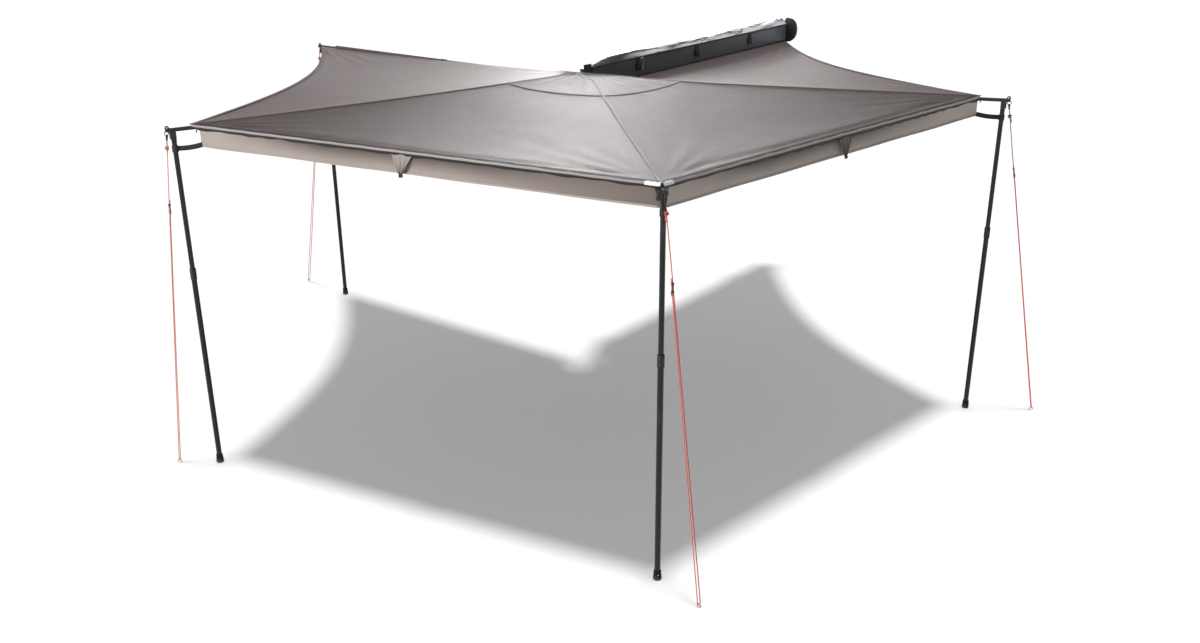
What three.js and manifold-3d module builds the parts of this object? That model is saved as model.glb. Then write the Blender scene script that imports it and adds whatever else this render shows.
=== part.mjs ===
// A 270 degree fan awning for the side of a vehicle: a storage case on the roof rack, four arms that
// swing out from one hub pin at the case's rear end, a telescopic leg under each arm's tip, a canopy of
// four panels, two valances, and four guy ropes with their tensioners and pegs.
//
// Millimetres. Z is up, Y runs forward along the case, X points away from the vehicle. The pieces are
// placed from the hub pin's axis, with height counted from the ground, and the whole awning is then
// moved so that the origin lies under the foot of the rear rack bracket.
import * as THREE from 'three';
import { mergeVertices } from 'three/addons/utils/BufferGeometryUtils.js';
import Module from 'manifold-3d';

const wasm = await Module();
wasm.setup();

// Arms
const armCount = 4;
const armHeight = 1852;
const armReach = 2340;
const armSwing = THREE.MathUtils.degToRad(66.9);
const armSpacing = 44;
const armWidth = 25;
const armDepth = 30;
const armWall = 2;
const armCorner = 6;

// Clearances: between pieces that touch, around a turning pin, and past a cut's ends
const fit = 0.3;
const play = 0.4;
const overrun = 1;

// Hub
const pinRadius = 6;
const pinHeadRadius = 11;
const pinHeadHeight = 6;
const eyeRadius = 20;
const knucklePlate = 8;
const knuckleGap = 0.6;
const stemReach = 55;
const blockLength = 20;
const plugLength = 45;
const bracketPlate = 6;
const bracketWebWidth = 70;
const bracketWebRise = 24;

// Arm tips
const tubeEndBeforeLeg = 150;
const barWidth = 20;
const barDepth = 16;
const legPinDrop = 38;
const legPinRadius = 4;
const tongueWidth = 14;
const cheekThickness = 5;
const cheekRadius = 12.5;
const stopThickness = 3.5;
const ringRadius = 10;
const ringWire = 2;
const ringDrop = 14;
const ringPastLeg = 31;

// Legs
const upperTubeRadius = 12.5;
const lowerTubeRadius = 14;
const legTubeWall = 1.5;
const tubeOverlap = 300;
const collarHeight = 1100;
const collarLength = 60;
const collarRadius = 16.2;
const footRadius = 20;
const footHeight = 48;
const footSocket = 36;
const neckLength = 18;

// Case
const wallInset = 90;
const railBelowArm = 66;
const railHeight = 125;
const railDepth = 24;
const railWall = 3;
const railLip = 28;
const railRear = 100;
const panelThickness = 3;
const panelRear = 175;
const panelCorner = 90;
const caseFront = 2490;
const endCapThickness = 38;
const endCapReach = 85;
const endCapRise = 60;
const foldReach = 130;
const foldRearThickness = 46;
const foldFrontThickness = 38;
const strapPlaces = [640, 1300, 1970];
const strapWidth = 38;
const strapThickness = 2;
const strapLength = 84;
const buckleWidth = 46;
const buckleHeight = 48;
const buckleThickness = 6;

// Rack brackets
const bracketPlaces = { rear: 450, front: 2050 };
const bracketWidth = 60;
const bracketFoot = 140;
const bracketThickness = 6;
const bracketUpright = 80;
const bracketFootDrop = 35;
const bracketHoleRadius = 4.5;
const bracketHoleSpacing = 64;

// Canopy and valances
const clothThickness = 1;
const clothLift = 1.6;
const seamGap = 0.8;
const apexRise = 62;
const apexHole = 8;
const apexShift = [-40, -25];
const riseSetback = 120;
// How far out from the hub the first arm's ridge has come down from the apex
const firstRiseReach = 1300;
const ridgeMerge = 250;
// How far short of each arm's leg its ridge of the canopy ends
const cornerSetbacks = [120, 34, 84, 8];
const clothSag = 30;
const openEdgeCutShare = 0.115;
const valanceDrop = 105;
const valanceThickness = 1.5;
const valanceEndGap = 36;

// Guy ropes
const ropeDiameter = 4;
const ropeSides = 8;
const ropeBend = 8.5;
const tensionerLength = 40;
const tensionerWidth = 18;
const tensionerDepth = 11;
const tensionerBore = 2.7;
const tensionerSpacing = 8;
const tensionerShare = 0.205;
const ropeTail = 22;
const pegWire = 5;
const pegHook = 10;
const pegShaft = 180;
const pegTip = 8;
// Where each peg stands from its leg's foot: sideways to the right of the arm, and outward along it
const pegPlaces = [[-66, 380], [-144, 239], [114, 191], [28, 445]];

const materials = {
  rail: [0x2a2c30, 0.45, 0.6],
  bracket: [0x16171a, 0.5, 0.7],
  steel: [0xb9bcc0, 0.3, 1.0],
  panel: [0x4a4f57, 0.55, 0.0],
  cover: [0x121316, 0.3, 0.0],
  strap: [0x101113, 0.8, 0.0],
  arm: [0x1b1c1f, 0.4, 0.5],
  leg: [0x1d1e21, 0.35, 0.5],
  collar: [0x0f1011, 0.6, 0.0],
  rubber: [0x0c0c0d, 0.9, 0.0],
  cloth: [0x9b928c, 0.45, 0.0],
  valance: [0xa79f95, 0.5, 0.0],
  rope: [0xd9493a, 0.8, 0.0],
};

const awning = new THREE.Group();
const hub = new THREE.Group();
awning.add(hub);

// Solids and joins

function addPiece(parent, name, geometry, look) {
  const [color, roughness, metalness] = materials[look];
  const material = new THREE.MeshStandardMaterial({ color, roughness, metalness });
  const piece = new THREE.Mesh(geometry, material);
  piece.name = name;
  parent.add(piece);
  return piece;
}

function toSolid(geometry) {
  const bare = geometry.clone();
  bare.deleteAttribute('normal');
  bare.deleteAttribute('uv');
  const merged = mergeVertices(bare, 1e-4);
  return new wasm.Manifold(new wasm.Mesh({
    numProp: 3,
    vertProperties: new Float32Array(merged.attributes.position.array),
    triVerts: new Uint32Array(merged.index.array),
  }));
}

function toGeometry(solid) {
  const mesh = solid.getMesh();
  const geometry = new THREE.BufferGeometry();
  geometry.setAttribute('position', new THREE.BufferAttribute(mesh.vertProperties, 3));
  geometry.setIndex(new THREE.BufferAttribute(mesh.triVerts, 1));
  geometry.computeVertexNormals();
  return geometry;
}

const join = (...shapes) => toGeometry(shapes.map(toSolid).reduce((a, b) => a.add(b)));
const cut = (shape, ...tools) => toGeometry(tools.map(toSolid).reduce((a, b) => a.subtract(b), toSolid(shape)));

function block(x0, x1, y0, y1, z0, z1) {
  const box = new THREE.BoxGeometry(x1 - x0, y1 - y0, z1 - z0);
  return box.translate((x0 + x1) / 2, (y0 + y1) / 2, (z0 + z1) / 2);
}

// A round bar along Z from z0 to z1
function bar(radius, z0, z1, sides = 18) {
  const round = new THREE.CylinderGeometry(radius, radius, z1 - z0, sides);
  return round.rotateX(Math.PI / 2).translate(0, 0, (z0 + z1) / 2);
}

// A ring about Z whose section is a closed list of [radius, height]
function turned(profile, sides = 18) {
  const points = profile.map(([r, z]) => new THREE.Vector2(r, z));
  if (profile[0][0] > 0) points.push(points[0].clone());
  return new THREE.LatheGeometry(points, sides).rotateX(Math.PI / 2);
}

function outline(points) {
  return new THREE.Shape(points.map(([x, y]) => new THREE.Vector2(x, y)));
}

function roundedRectangle(width, height, radius) {
  const w = width / 2;
  const h = height / 2;
  const shape = new THREE.Shape();
  shape.moveTo(w - radius, -h);
  shape.absarc(w - radius, radius - h, radius, -Math.PI / 2, 0);
  shape.absarc(w - radius, h - radius, radius, 0, Math.PI / 2);
  shape.absarc(radius - w, h - radius, radius, Math.PI / 2, Math.PI);
  shape.absarc(radius - w, radius - h, radius, Math.PI, Math.PI * 1.5);
  shape.closePath();
  return shape;
}

const plain = { bevelEnabled: false, curveSegments: 3 };

// A flat plate: an outline in X and Y, between two heights
function plate(shape, z0, z1) {
  return new THREE.ExtrudeGeometry(shape, { ...plain, depth: z1 - z0 }).translate(0, 0, z0);
}

// A profile in X and Z, drawn along Y from y0 to y1
function alongY(shape, y0, y1) {
  const drawn = new THREE.ExtrudeGeometry(shape, { ...plain, depth: y1 - y0 });
  return drawn.rotateX(Math.PI / 2).translate(0, y1, 0);
}

// A sheet of cloth: point(u, v) gives its upper face, and skin points from there to its lower face
function cloth(point, columns, rows, skin) {
  const positions = [];
  const faces = [];
  const at = (side, i, j) => side * (columns + 1) * (rows + 1) + j * (columns + 1) + i;
  for (const side of [0, 1]) {
    for (let j = 0; j <= rows; j += 1) {
      for (let i = 0; i <= columns; i += 1) {
        const p = point(i / columns, j / rows).addScaledVector(skin, side);
        positions.push(p.x, p.y, p.z);
      }
    }
  }
  const quad = (a, b, c, d) => faces.push(a, b, c, a, c, d);
  for (let j = 0; j < rows; j += 1) {
    for (let i = 0; i < columns; i += 1) {
      quad(at(0, i, j), at(0, i + 1, j), at(0, i + 1, j + 1), at(0, i, j + 1));
      quad(at(1, i, j), at(1, i, j + 1), at(1, i + 1, j + 1), at(1, i + 1, j));
    }
  }
  for (let i = 0; i < columns; i += 1) {
    quad(at(0, i, 0), at(1, i, 0), at(1, i + 1, 0), at(0, i + 1, 0));
    quad(at(0, i + 1, rows), at(1, i + 1, rows), at(1, i, rows), at(0, i, rows));
  }
  for (let j = 0; j < rows; j += 1) {
    quad(at(0, 0, j + 1), at(1, 0, j + 1), at(1, 0, j), at(0, 0, j));
    quad(at(0, columns, j), at(1, columns, j), at(1, columns, j + 1), at(0, columns, j + 1));
  }
  return facingOut(positions, faces);
}

// The closed surface with its faces turned outward, whichever way they were listed
function facingOut(positions, faces) {
  let volume = 0;
  const corner = (n) => new THREE.Vector3().fromArray(positions, n * 3);
  for (let n = 0; n < faces.length; n += 3) {
    const [a, b, c] = [corner(faces[n]), corner(faces[n + 1]), corner(faces[n + 2])];
    volume += a.dot(b.cross(c));
  }
  if (volume < 0) faces.reverse();
  const geometry = new THREE.BufferGeometry();
  geometry.setAttribute('position', new THREE.Float32BufferAttribute(positions, 3));
  geometry.setIndex(faces);
  geometry.computeVertexNormals();
  return geometry;
}

// A bent rod or rope: a path that passes through listed points, one step for each of them
class Route extends THREE.Curve {
  constructor(points) {
    super();
    this.points = points;
  }

  getPoint(t, target = new THREE.Vector3()) {
    const last = this.points.length - 1;
    const place = THREE.MathUtils.clamp(t, 0, 1) * last;
    const n = Math.min(Math.floor(place), last - 1);
    return target.lerpVectors(this.points[n], this.points[n + 1], place - n);
  }

  getTangent(t, target = new THREE.Vector3()) {
    const last = this.points.length - 1;
    const n = Math.round(THREE.MathUtils.clamp(t, 0, 1) * last);
    const before = this.points[Math.max(n - 1, 0)];
    const after = this.points[Math.min(n + 1, last)];
    return target.subVectors(after, before).normalize();
  }

  getUtoTmapping(u) {
    return u;
  }
}

function drawnAlong(points, diameter, sides) {
  const section = new THREE.Shape();
  for (let n = 0; n < sides; n += 1) {
    const angle = (n / sides) * 2 * Math.PI;
    const [x, y] = [Math.cos(angle) * diameter / 2, Math.sin(angle) * diameter / 2];
    if (n) section.lineTo(x, y);
    else section.moveTo(x, y);
  }
  section.closePath();
  return new THREE.ExtrudeGeometry(section, { steps: points.length - 1, extrudePath: new Route(points) });
}

// Places worked out from the sizes

const armTop = armHeight + armDepth / 2;
const knucklePitch = knucklePlate + knuckleGap;
const stackHalf = ((armCount - 1) * knucklePitch + knucklePlate) / 2;
const tubeStart = stemReach + blockLength + fit;
const tubeEnd = armReach - tubeEndBeforeLeg;
const armPlaces = Array.from({ length: armCount }, (_, n) => ({
  number: n + 1,
  heading: armSwing * (n + 1),
  side: (n - (armCount - 1) / 2) * armSpacing,
  layer: ((armCount - 1) / 2 - n) * knucklePitch,
}));

const railFace = -wallInset - panelThickness - fit;
const railBack = railFace - railDepth;
const railBottom = armHeight - railBelowArm;
const railTop = railBottom + railHeight;

// Case: rail, panel, end caps, fold, straps

function baseRail() {
  const lip = railBottom + railLip;
  const inner = railFace - railWall;
  const profile = outline([
    [railFace, railBottom], [railFace, railTop], [railBack, railTop], [railBack, railTop - railLip],
    [railBack + railWall, railTop - railLip], [railBack + railWall, railTop - railWall],
    [inner, railTop - railWall], [inner, railBottom + railWall],
    [railBack + railWall, railBottom + railWall], [railBack + railWall, lip], [railBack, lip],
    [railBack, railBottom],
  ]);
  return alongY(profile, railRear, caseFront - fit);
}

// The inner face of the bag, a stiff panel whose lower rear corner is cut round
function coverPanel() {
  const shape = new THREE.Shape();
  shape.moveTo(panelRear + panelCorner, railBottom);
  shape.lineTo(caseFront - fit, railBottom);
  shape.lineTo(caseFront - fit, railTop);
  shape.lineTo(panelRear, railTop);
  shape.absarc(panelRear + panelCorner, railBottom + panelCorner, panelCorner, Math.PI, Math.PI * 1.5);
  shape.closePath();
  const sheet = new THREE.ExtrudeGeometry(shape, {
    depth: panelThickness, bevelEnabled: false, curveSegments: 8,
  });
  return sheet.rotateY(Math.PI / 2).rotateX(Math.PI / 2).translate(-wallInset - panelThickness, 0, 0);
}

function rearEndCap() {
  const plugGap = railWall + fit;
  const lid = block(railBack, railFace, railRear - fit - railWall, railRear - fit, railBottom, railTop);
  const plug = block(
    railBack + plugGap, railFace - plugGap, railRear - fit - overrun, railRear + railLip,
    railBottom + plugGap, railTop - plugGap,
  );
  return join(lid, plug);
}

// The end of the bag: a soft D that bulges outward past the panel and above the rail
function frontEndCap() {
  const middle = railBottom + (railHeight + endCapRise) / 2;
  const half = (railHeight + endCapRise) / 2;
  const steps = 10;
  const rim = [];
  for (let n = 0; n <= steps; n += 1) {
    const angle = Math.PI * (n / steps - 0.5);
    rim.push([railFace + endCapReach * Math.cos(angle) ** 0.7, middle + half * Math.sin(angle)]);
  }
  const shape = outline([[railBack, middle - half], ...rim.slice(1, -1), [railBack, middle + half]]);
  const bulge = endCapThickness / 4;
  const cap = new THREE.ExtrudeGeometry(shape, {
    depth: endCapThickness - 2 * bulge, curveSegments: 3, bevelEnabled: true,
    bevelThickness: bulge, bevelSize: bulge, bevelOffset: -bulge, bevelSegments: 2,
  });
  return cap.rotateX(Math.PI / 2).translate(0, caseFront + endCapThickness - bulge, 0);
}

// The bag's flap, folded back over the rail in two soft layers that grow thicker towards the front.
// Shares run across the fold, from its outer edge to its inner one, and up its thickness.
const foldShares = [
  [0.02, 0], [0, 0.3], [0.05, 0.62], [0.16, 0.86], [0.34, 1], [0.5, 0.9], [0.62, 0.97], [0.8, 0.8],
  [0.93, 0.6], [1, 0.34], [0.97, 0],
];

function coverFold() {
  const stations = 26;
  const outer = -wallInset + panelThickness;
  const positions = [];
  const faces = [];
  const around = foldShares.length;
  for (let n = 0; n <= stations; n += 1) {
    const share = n / stations;
    const y = THREE.MathUtils.lerp(panelRear, caseFront - fit, share);
    const thick = THREE.MathUtils.lerp(foldRearThickness, foldFrontThickness, share ** 0.8);
    for (const [across, up] of foldShares) {
      const crease = 1 + 0.13 * Math.sin(share * 38 + across * 9) * up;
      const x = outer - foldReach * across + foldReach * 0.03 * Math.sin(share * 23) * across;
      positions.push(x, y, railTop + fit + thick * up * crease);
    }
  }
  for (let n = 0; n < stations; n += 1) {
    for (let k = 0; k < around; k += 1) {
      const next = (k + 1) % around;
      const [a, b] = [n * around + k, n * around + next];
      faces.push(a, b, b + around, a, b + around, a + around);
    }
  }
  const end = stations * around;
  for (let k = 1; k < around - 1; k += 1) {
    faces.push(0, k + 1, k, end, end + k, end + k + 1);
  }
  return facingOut(positions, faces);
}

// A webbing tail sewn under the panel's top edge, with its buckle
function coverStrap(place) {
  const [face, top] = [-wallInset + fit, railTop - panelThickness];
  const half = strapWidth / 2;
  const tail = block(face, face + strapThickness, place - half, place + half, top - strapLength, top);
  const low = top - strapLength + strapThickness;
  const buckle = block(
    face, face + strapThickness + buckleThickness, place - buckleWidth / 2, place + buckleWidth / 2,
    low, low + buckleHeight,
  );
  const windowHeight = buckleHeight / 5;
  const slot = block(
    face + strapThickness, face + strapThickness + buckleThickness + overrun,
    place - half * 0.7, place + half * 0.7, low + windowHeight, low + 2 * windowHeight,
  );
  return join(tail, cut(buckle, slot));
}

addPiece(hub, 'base_rail', baseRail(), 'rail');
addPiece(hub, 'cover_panel', coverPanel(), 'panel');
addPiece(hub, 'rear_end_cap', rearEndCap(), 'collar');
addPiece(hub, 'front_end_cap', frontEndCap(), 'cover');
addPiece(hub, 'cover_fold', coverFold(), 'cover');
strapPlaces.forEach((place, n) => addPiece(hub, `cover_strap_${n + 1}`, coverStrap(place), 'strap'));

// Rack brackets: an upright on the rail's back and a foot that lies on the rack's bar

const footTop = railTop - bracketFootDrop;
const footUnder = footTop - bracketThickness;
const uprightFace = railBack - fit;
const uprightBack = uprightFace - bracketThickness;
const footMiddle = uprightBack - bracketFoot / 2;

function rackBracket(place) {
  const [y0, y1] = [place - bracketWidth / 2, place + bracketWidth / 2];
  const high = railTop - panelThickness;
  const upright = block(uprightBack, uprightFace, y0, y1, high - bracketUpright, high);
  const foot = block(uprightBack - bracketFoot, uprightFace, y0, y1, footUnder, footTop);
  const rib = outline([
    [uprightBack + overrun, footUnder + overrun], [uprightBack - bracketFoot / 3, footUnder + overrun],
    [uprightBack + overrun, high - bracketUpright + bracketThickness],
  ]);
  const brace = alongY(rib, place - bracketThickness / 2, place + bracketThickness / 2);
  const holes = [-1, 1].map((side) => (
    bar(bracketHoleRadius, footUnder - overrun, footTop + overrun, 16)
      .translate(footMiddle + side * bracketHoleSpacing / 2, place, 0)
  ));
  return cut(join(upright, foot, brace), ...holes);
}

addPiece(hub, 'rack_bracket_rear', rackBracket(bracketPlaces.rear), 'bracket');
addPiece(hub, 'rack_bracket_front', rackBracket(bracketPlaces.front), 'bracket');

// Hub: a clevis of two plates with a web on the rail, one pin through all four knuckles, and its nut

const webFace = railFace + fit;
const webDepth = panelThickness + fit;
const plateInner = stackHalf + knuckleGap;
const plateOuter = plateInner + bracketPlate;

function clevisPlate(z0, z1) {
  const [near, far] = [railRear, railRear + bracketWebWidth];
  const steps = 9;
  const eye = [];
  for (let n = 0; n <= steps; n += 1) {
    const angle = Math.PI * (1.28 + 1.05 * n / steps);
    eye.push([eyeRadius * Math.cos(angle), eyeRadius * Math.sin(angle)]);
  }
  const shape = outline([...eye, [webFace + webDepth, far], [webFace, far], [webFace, near]]);
  return plate(shape, z0, z1);
}

function hubBracket() {
  const [low, high] = [armHeight - plateOuter, armHeight + plateOuter];
  const web = block(
    webFace, webFace + webDepth, railRear, railRear + bracketWebWidth,
    railBottom + panelThickness, railTop + bracketWebRise,
  );
  const clevis = join(
    clevisPlate(low, armHeight - plateInner), clevisPlate(armHeight + plateInner, high), web,
  );
  return cut(clevis, bar(pinRadius + play, low - overrun, high + overrun));
}

function hubPin() {
  const low = armHeight - plateOuter - pinHeadHeight - overrun;
  const seat = armHeight + plateOuter + fit;
  return turned([[0, low], [pinRadius, low], [pinRadius, seat], [pinHeadRadius, seat],
    [pinHeadRadius, seat + pinHeadHeight * 0.6], [pinHeadRadius * 0.75, seat + pinHeadHeight],
    [0, seat + pinHeadHeight]], 24);
}

function hubNut() {
  const high = armHeight - plateOuter - fit;
  return cut(bar(pinHeadRadius, high - pinHeadHeight, high, 6),
    bar(pinRadius + fit, high - pinHeadHeight - overrun, high + overrun));
}

addPiece(hub, 'hub_bracket', hubBracket(), 'bracket');
addPiece(hub, 'hub_pin', hubPin(), 'steel');
addPiece(hub, 'hub_nut', hubNut(), 'steel');

// Arms: a cranked knuckle, a box tube and a forked tip, drawn along Y beside the hub's axis

const plugFit = armWall + fit;
const profileOfArm = () => roundedRectangle(armWidth, armDepth, armCorner);
const profileOfBore = () => (
  roundedRectangle(armWidth - 2 * armWall, armDepth - 2 * armWall, armCorner - armWall)
);
const profileOfPlug = () => (
  roundedRectangle(armWidth - 2 * plugFit, armDepth - 2 * plugFit, armCorner - armWall)
);

function knuckle({ side, layer }) {
  const [low, high] = [layer - knucklePlate / 2, layer + knucklePlate / 2];
  const half = armWidth / 2;
  const crank = block(Math.min(0, side), Math.max(0, side), -half, half, low, high);
  const stem = block(side - half, side + half, -half, stemReach + overrun, low, high);
  const shoulder = block(side - half, side + half, stemReach, stemReach + blockLength, -stackHalf, stackHalf);
  const plug = alongY(profileOfPlug(), stemReach + blockLength - overrun, tubeStart + plugLength);
  const body = join(bar(eyeRadius, low, high), crank, stem, shoulder, plug.translate(side, 0, 0));
  return cut(body, bar(pinRadius + play, low - overrun, high + overrun));
}

function armTube({ side }) {
  const shape = profileOfArm();
  shape.holes.push(profileOfBore());
  return alongY(shape, tubeStart, tubeEnd).translate(side, 0, 0);
}

// A cheek of the tip's fork, in Y and Z, hanging from the bar round the leg's pin
function cheek(x0, x1) {
  const steps = 8;
  const round = [];
  for (let n = 0; n <= steps; n += 1) {
    const angle = -Math.PI * n / steps;
    round.push([armReach + cheekRadius * Math.cos(angle), -legPinDrop + cheekRadius * Math.sin(angle)]);
  }
  const shape = outline([[armReach - cheekRadius, 0], [armReach + cheekRadius, 0], ...round]);
  const drawn = new THREE.ExtrudeGeometry(shape, { ...plain, depth: x1 - x0 });
  return drawn.rotateY(Math.PI / 2).rotateX(Math.PI / 2).translate(x0, 0, 0);
}

function armTip({ side }) {
  const gap = tongueWidth / 2 + fit;
  const end = armReach + ringPastLeg + ringWire * 2;
  const wide = gap + cheekThickness;
  const pin = bar(legPinRadius, -wide - ringWire, wide + ringWire, 16)
    .rotateY(Math.PI / 2).translate(0, armReach, -legPinDrop);
  const stopFace = armReach + cheekRadius + overrun;
  const ring = new THREE.TorusGeometry(ringRadius, ringWire, 6, 14)
    .rotateY(Math.PI / 2).translate(0, armReach + ringPastLeg, -ringDrop);
  return join(
    alongY(profileOfPlug(), tubeEnd - plugLength, tubeEnd + fit + overrun),
    block(-barWidth / 2, barWidth / 2, tubeEnd + fit, end, -barDepth / 2, barDepth / 2),
    block(-wide, wide, armReach - cheekRadius, stopFace + stopThickness, -barDepth / 2, 0),
    cheek(-wide, -gap), cheek(gap, wide), pin,
    block(-wide, wide, stopFace, stopFace + stopThickness, -legPinDrop - cheekRadius / 2, 0),
    ring,
  ).translate(side, 0, 0);
}

// Legs, drawn on the axis of their pin's middle, with height counted from the ground

const pinHeight = armHeight - legPinDrop;
const upperTop = pinHeight - neckLength;
const upperBottom = collarHeight - tubeOverlap;
const lowerBottom = footHeight - footSocket + fit;

function upperTube() {
  const bore = upperTubeRadius - legTubeWall;
  const tube = turned([[bore, upperBottom], [upperTubeRadius, upperBottom], [upperTubeRadius, upperTop],
    [0, upperTop], [0, upperTop - neckLength], [bore, upperTop - neckLength]].concat([[bore, upperBottom]]));
  const half = tongueWidth / 2;
  const tongue = join(
    block(-half, half, -upperTubeRadius, upperTubeRadius, upperTop - overrun, pinHeight),
    bar(upperTubeRadius, -half, half, 20).rotateY(Math.PI / 2).translate(0, 0, pinHeight),
  );
  const hole = bar(legPinRadius + play, -half - overrun, half + overrun, 16)
    .rotateY(Math.PI / 2).translate(0, 0, pinHeight);
  return cut(join(tube, tongue), hole);
}

function ringTube(inner, outer, z0, z1) {
  return turned([[inner, z0], [outer, z0], [outer, z1], [inner, z1]]);
}

function collar() {
  const [low, high] = [collarHeight - collarLength / 2, collarHeight + collarLength / 2];
  const chamfer = (collarRadius - lowerTubeRadius) / 2;
  const slimBore = upperTubeRadius + play;
  const wideBore = lowerTubeRadius + play;
  return turned([[wideBore, low], [collarRadius - chamfer, low], [collarRadius, low + chamfer],
    [collarRadius, high - chamfer], [collarRadius - chamfer, high], [slimBore, high],
    [slimBore, collarHeight + play], [wideBore, collarHeight + play]]);
}

function foot() {
  const socket = lowerTubeRadius + fit;
  const rim = footHeight / 8;
  const floor = footHeight - footSocket;
  return turned([[0, 0], [footRadius - rim, 0], [footRadius, rim], [footRadius, footHeight - 3 * rim],
    [footRadius - rim / 2, footHeight - rim], [socket + rim / 4, footHeight], [socket, footHeight],
    [socket, floor], [0, floor]]);
}

// Guy ropes, drawn in a frame of their own: across the doubled strands, and along from ring to peg

// Along each rope: [millimetres across, share of the way from the ring to the peg's bend]
const ropeDown = [
  [0, 0], [-1.5, 0.05], [-3, 0.12], [-4, 0.18], [-4, 0.24], [-4.6, 0.35], [-5.6, 0.5], [-6.8, 0.68],
  [-7.8, 0.84], [-8.3, 0.94], [-8.5, 1],
];
const ropeUp = [
  [8.5, 1], [8.3, 0.94], [7.8, 0.84], [6.8, 0.68], [5.6, 0.5], [4.6, 0.35], [4, 0.24], [4, 0.19],
];

function ropeFrame({ side }, [sideways, outward]) {
  const top = new THREE.Vector3(
    side, armReach + ringPastLeg, armHeight - ringDrop - ringRadius - ringWire - fit,
  );
  const wireTop = pegHook + pegTip;
  const seat = wireTop - pegWire / 2 - fit - ropeDiameter / 2;
  const bottom = new THREE.Vector3(side + sideways, armReach + outward, seat);
  const along = bottom.clone().sub(top).normalize();
  const across = new THREE.Vector3(along.y, -along.x, 0).normalize();
  return { top, bottom, along, across };
}

function ropePoints(frame) {
  const span = frame.top.distanceTo(frame.bottom) - ropeBend;
  const scale = ropeBend / ropeDown.at(-1)[0] * -1;
  const at = (across, along) => (
    frame.top.clone().addScaledVector(frame.across, across * scale).addScaledVector(frame.along, along)
  );
  const turn = [];
  const steps = 6;
  for (let n = 1; n < steps; n += 1) {
    const angle = Math.PI * (1 - n / steps);
    turn.push(at(ropeBend * Math.cos(angle) / scale, span + ropeBend * Math.sin(angle)));
  }
  const end = at(ropeUp.at(-1)[0], tensionerShare * span - tensionerLength / 2 - ropeTail);
  const up = ropeUp.slice(0, -1);
  return [
    ...ropeDown.map(([x, share]) => at(x, share * span)), ...turn,
    ...up.map(([x, share]) => at(x, share * span)), end,
  ];
}

function tensioner(frame) {
  const span = frame.top.distanceTo(frame.bottom) - ropeBend;
  const half = tensionerLength / 2;
  const bores = [-1, 1].map((side) => (
    bar(tensionerBore, -half - overrun, half + overrun, 12).translate(side * tensionerSpacing / 2, 0, 0)
  ));
  const body = plate(roundedRectangle(tensionerWidth, tensionerDepth, tensionerDepth / 3), -half, half);
  const third = frame.across.clone().cross(frame.along);
  const turn = new THREE.Matrix4().makeBasis(frame.across, third.negate(), frame.along);
  const place = frame.top.clone().addScaledVector(frame.along, tensionerShare * span);
  return cut(body, ...bores).applyMatrix4(turn.setPosition(place));
}

// A shepherd's-crook peg of bent wire: its shaft in the ground, its crook over the rope
function peg(frame) {
  const lean = new THREE.Vector3(frame.along.x, frame.along.y, 0).normalize();
  const centre = new THREE.Vector3(frame.bottom.x, frame.bottom.y, pegTip);
  const at = (outward, height) => centre.clone().addScaledVector(lean, outward).setZ(height);
  const arc = [];
  const steps = 10;
  for (let n = 0; n <= steps; n += 1) {
    const angle = Math.PI * n / steps;
    arc.push(at(pegHook * Math.cos(angle), pegTip + pegHook * Math.sin(angle)));
  }
  const points = [at(pegHook, -pegShaft), at(pegHook, -pegShaft / 2), ...arc, at(-pegHook, pegWire / 2)];
  return drawnAlong(points, pegWire, ropeSides);
}

for (const arm of armPlaces) {
  const swing = new THREE.Group();
  swing.rotation.z = -arm.heading;
  hub.add(swing);
  const level = new THREE.Group();
  level.position.z = armHeight;
  swing.add(level);
  addPiece(level, `arm_${arm.number}_knuckle`, knuckle(arm), 'bracket');
  addPiece(level, `arm_${arm.number}_tube`, armTube(arm), 'arm');
  addPiece(level, `arm_${arm.number}_tip`, armTip(arm), 'bracket');

  const leg = new THREE.Group();
  leg.position.set(arm.side, armReach, 0);
  swing.add(leg);
  addPiece(leg, `leg_${arm.number}_upper_tube`, upperTube(), 'leg');
  const lowerTube = ringTube(
    lowerTubeRadius - legTubeWall + fit, lowerTubeRadius, lowerBottom, collarHeight,
  );
  addPiece(leg, `leg_${arm.number}_lower_tube`, lowerTube, 'leg');
  addPiece(leg, `leg_${arm.number}_collar`, collar(), 'collar');
  addPiece(leg, `leg_${arm.number}_foot`, foot(), 'rubber');

  const frame = ropeFrame(arm, pegPlaces[arm.number - 1]);
  addPiece(swing, `rope_${arm.number}`, drawnAlong(ropePoints(frame), ropeDiameter, ropeSides), 'rope');
  addPiece(swing, `tensioner_${arm.number}`, tensioner(frame), 'collar');
  addPiece(swing, `peg_${arm.number}`, peg(frame), 'steel');
}

// The clamp half way along the far arm, where the canopy's edge pocket ends

const clampPlaceShare = 0.51;
const clampLength = 40;
const clampWall = 4;

function armClamp({ side }) {
  const place = armReach * clampPlaceShare;
  const grow = 2 * (clampWall + fit);
  const shape = roundedRectangle(armWidth + grow, armDepth + grow, armCorner + clampWall);
  shape.holes.push(roundedRectangle(armWidth + 2 * fit, armDepth + 2 * fit, armCorner));
  return alongY(shape, place - clampLength / 2, place + clampLength / 2).translate(side, 0, 0);
}

const farArm = armPlaces.at(-1);
const clamp = addPiece(hub, `arm_${farArm.number}_clamp`, armClamp(farArm), 'bracket');
clamp.rotation.z = -farArm.heading;
clamp.position.z = armHeight;

// Canopy: four panels stretched from the case's lower edge over the arms

const clothTop = armTop + clothLift + clothThickness;
const apexHeight = armHeight + apexRise;
const apex = new THREE.Vector3(...apexShift, 0);
// How far out each ridge has come down from the apex, and how steeply it falls at first
const riseReaches = [firstRiseReach, ...[1, 2, 3].map(() => armReach - riseSetback)];
const risePowers = [4, 2, 2, 2];
const cornerReaches = cornerSetbacks.map((setback) => armReach - setback);

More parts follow.
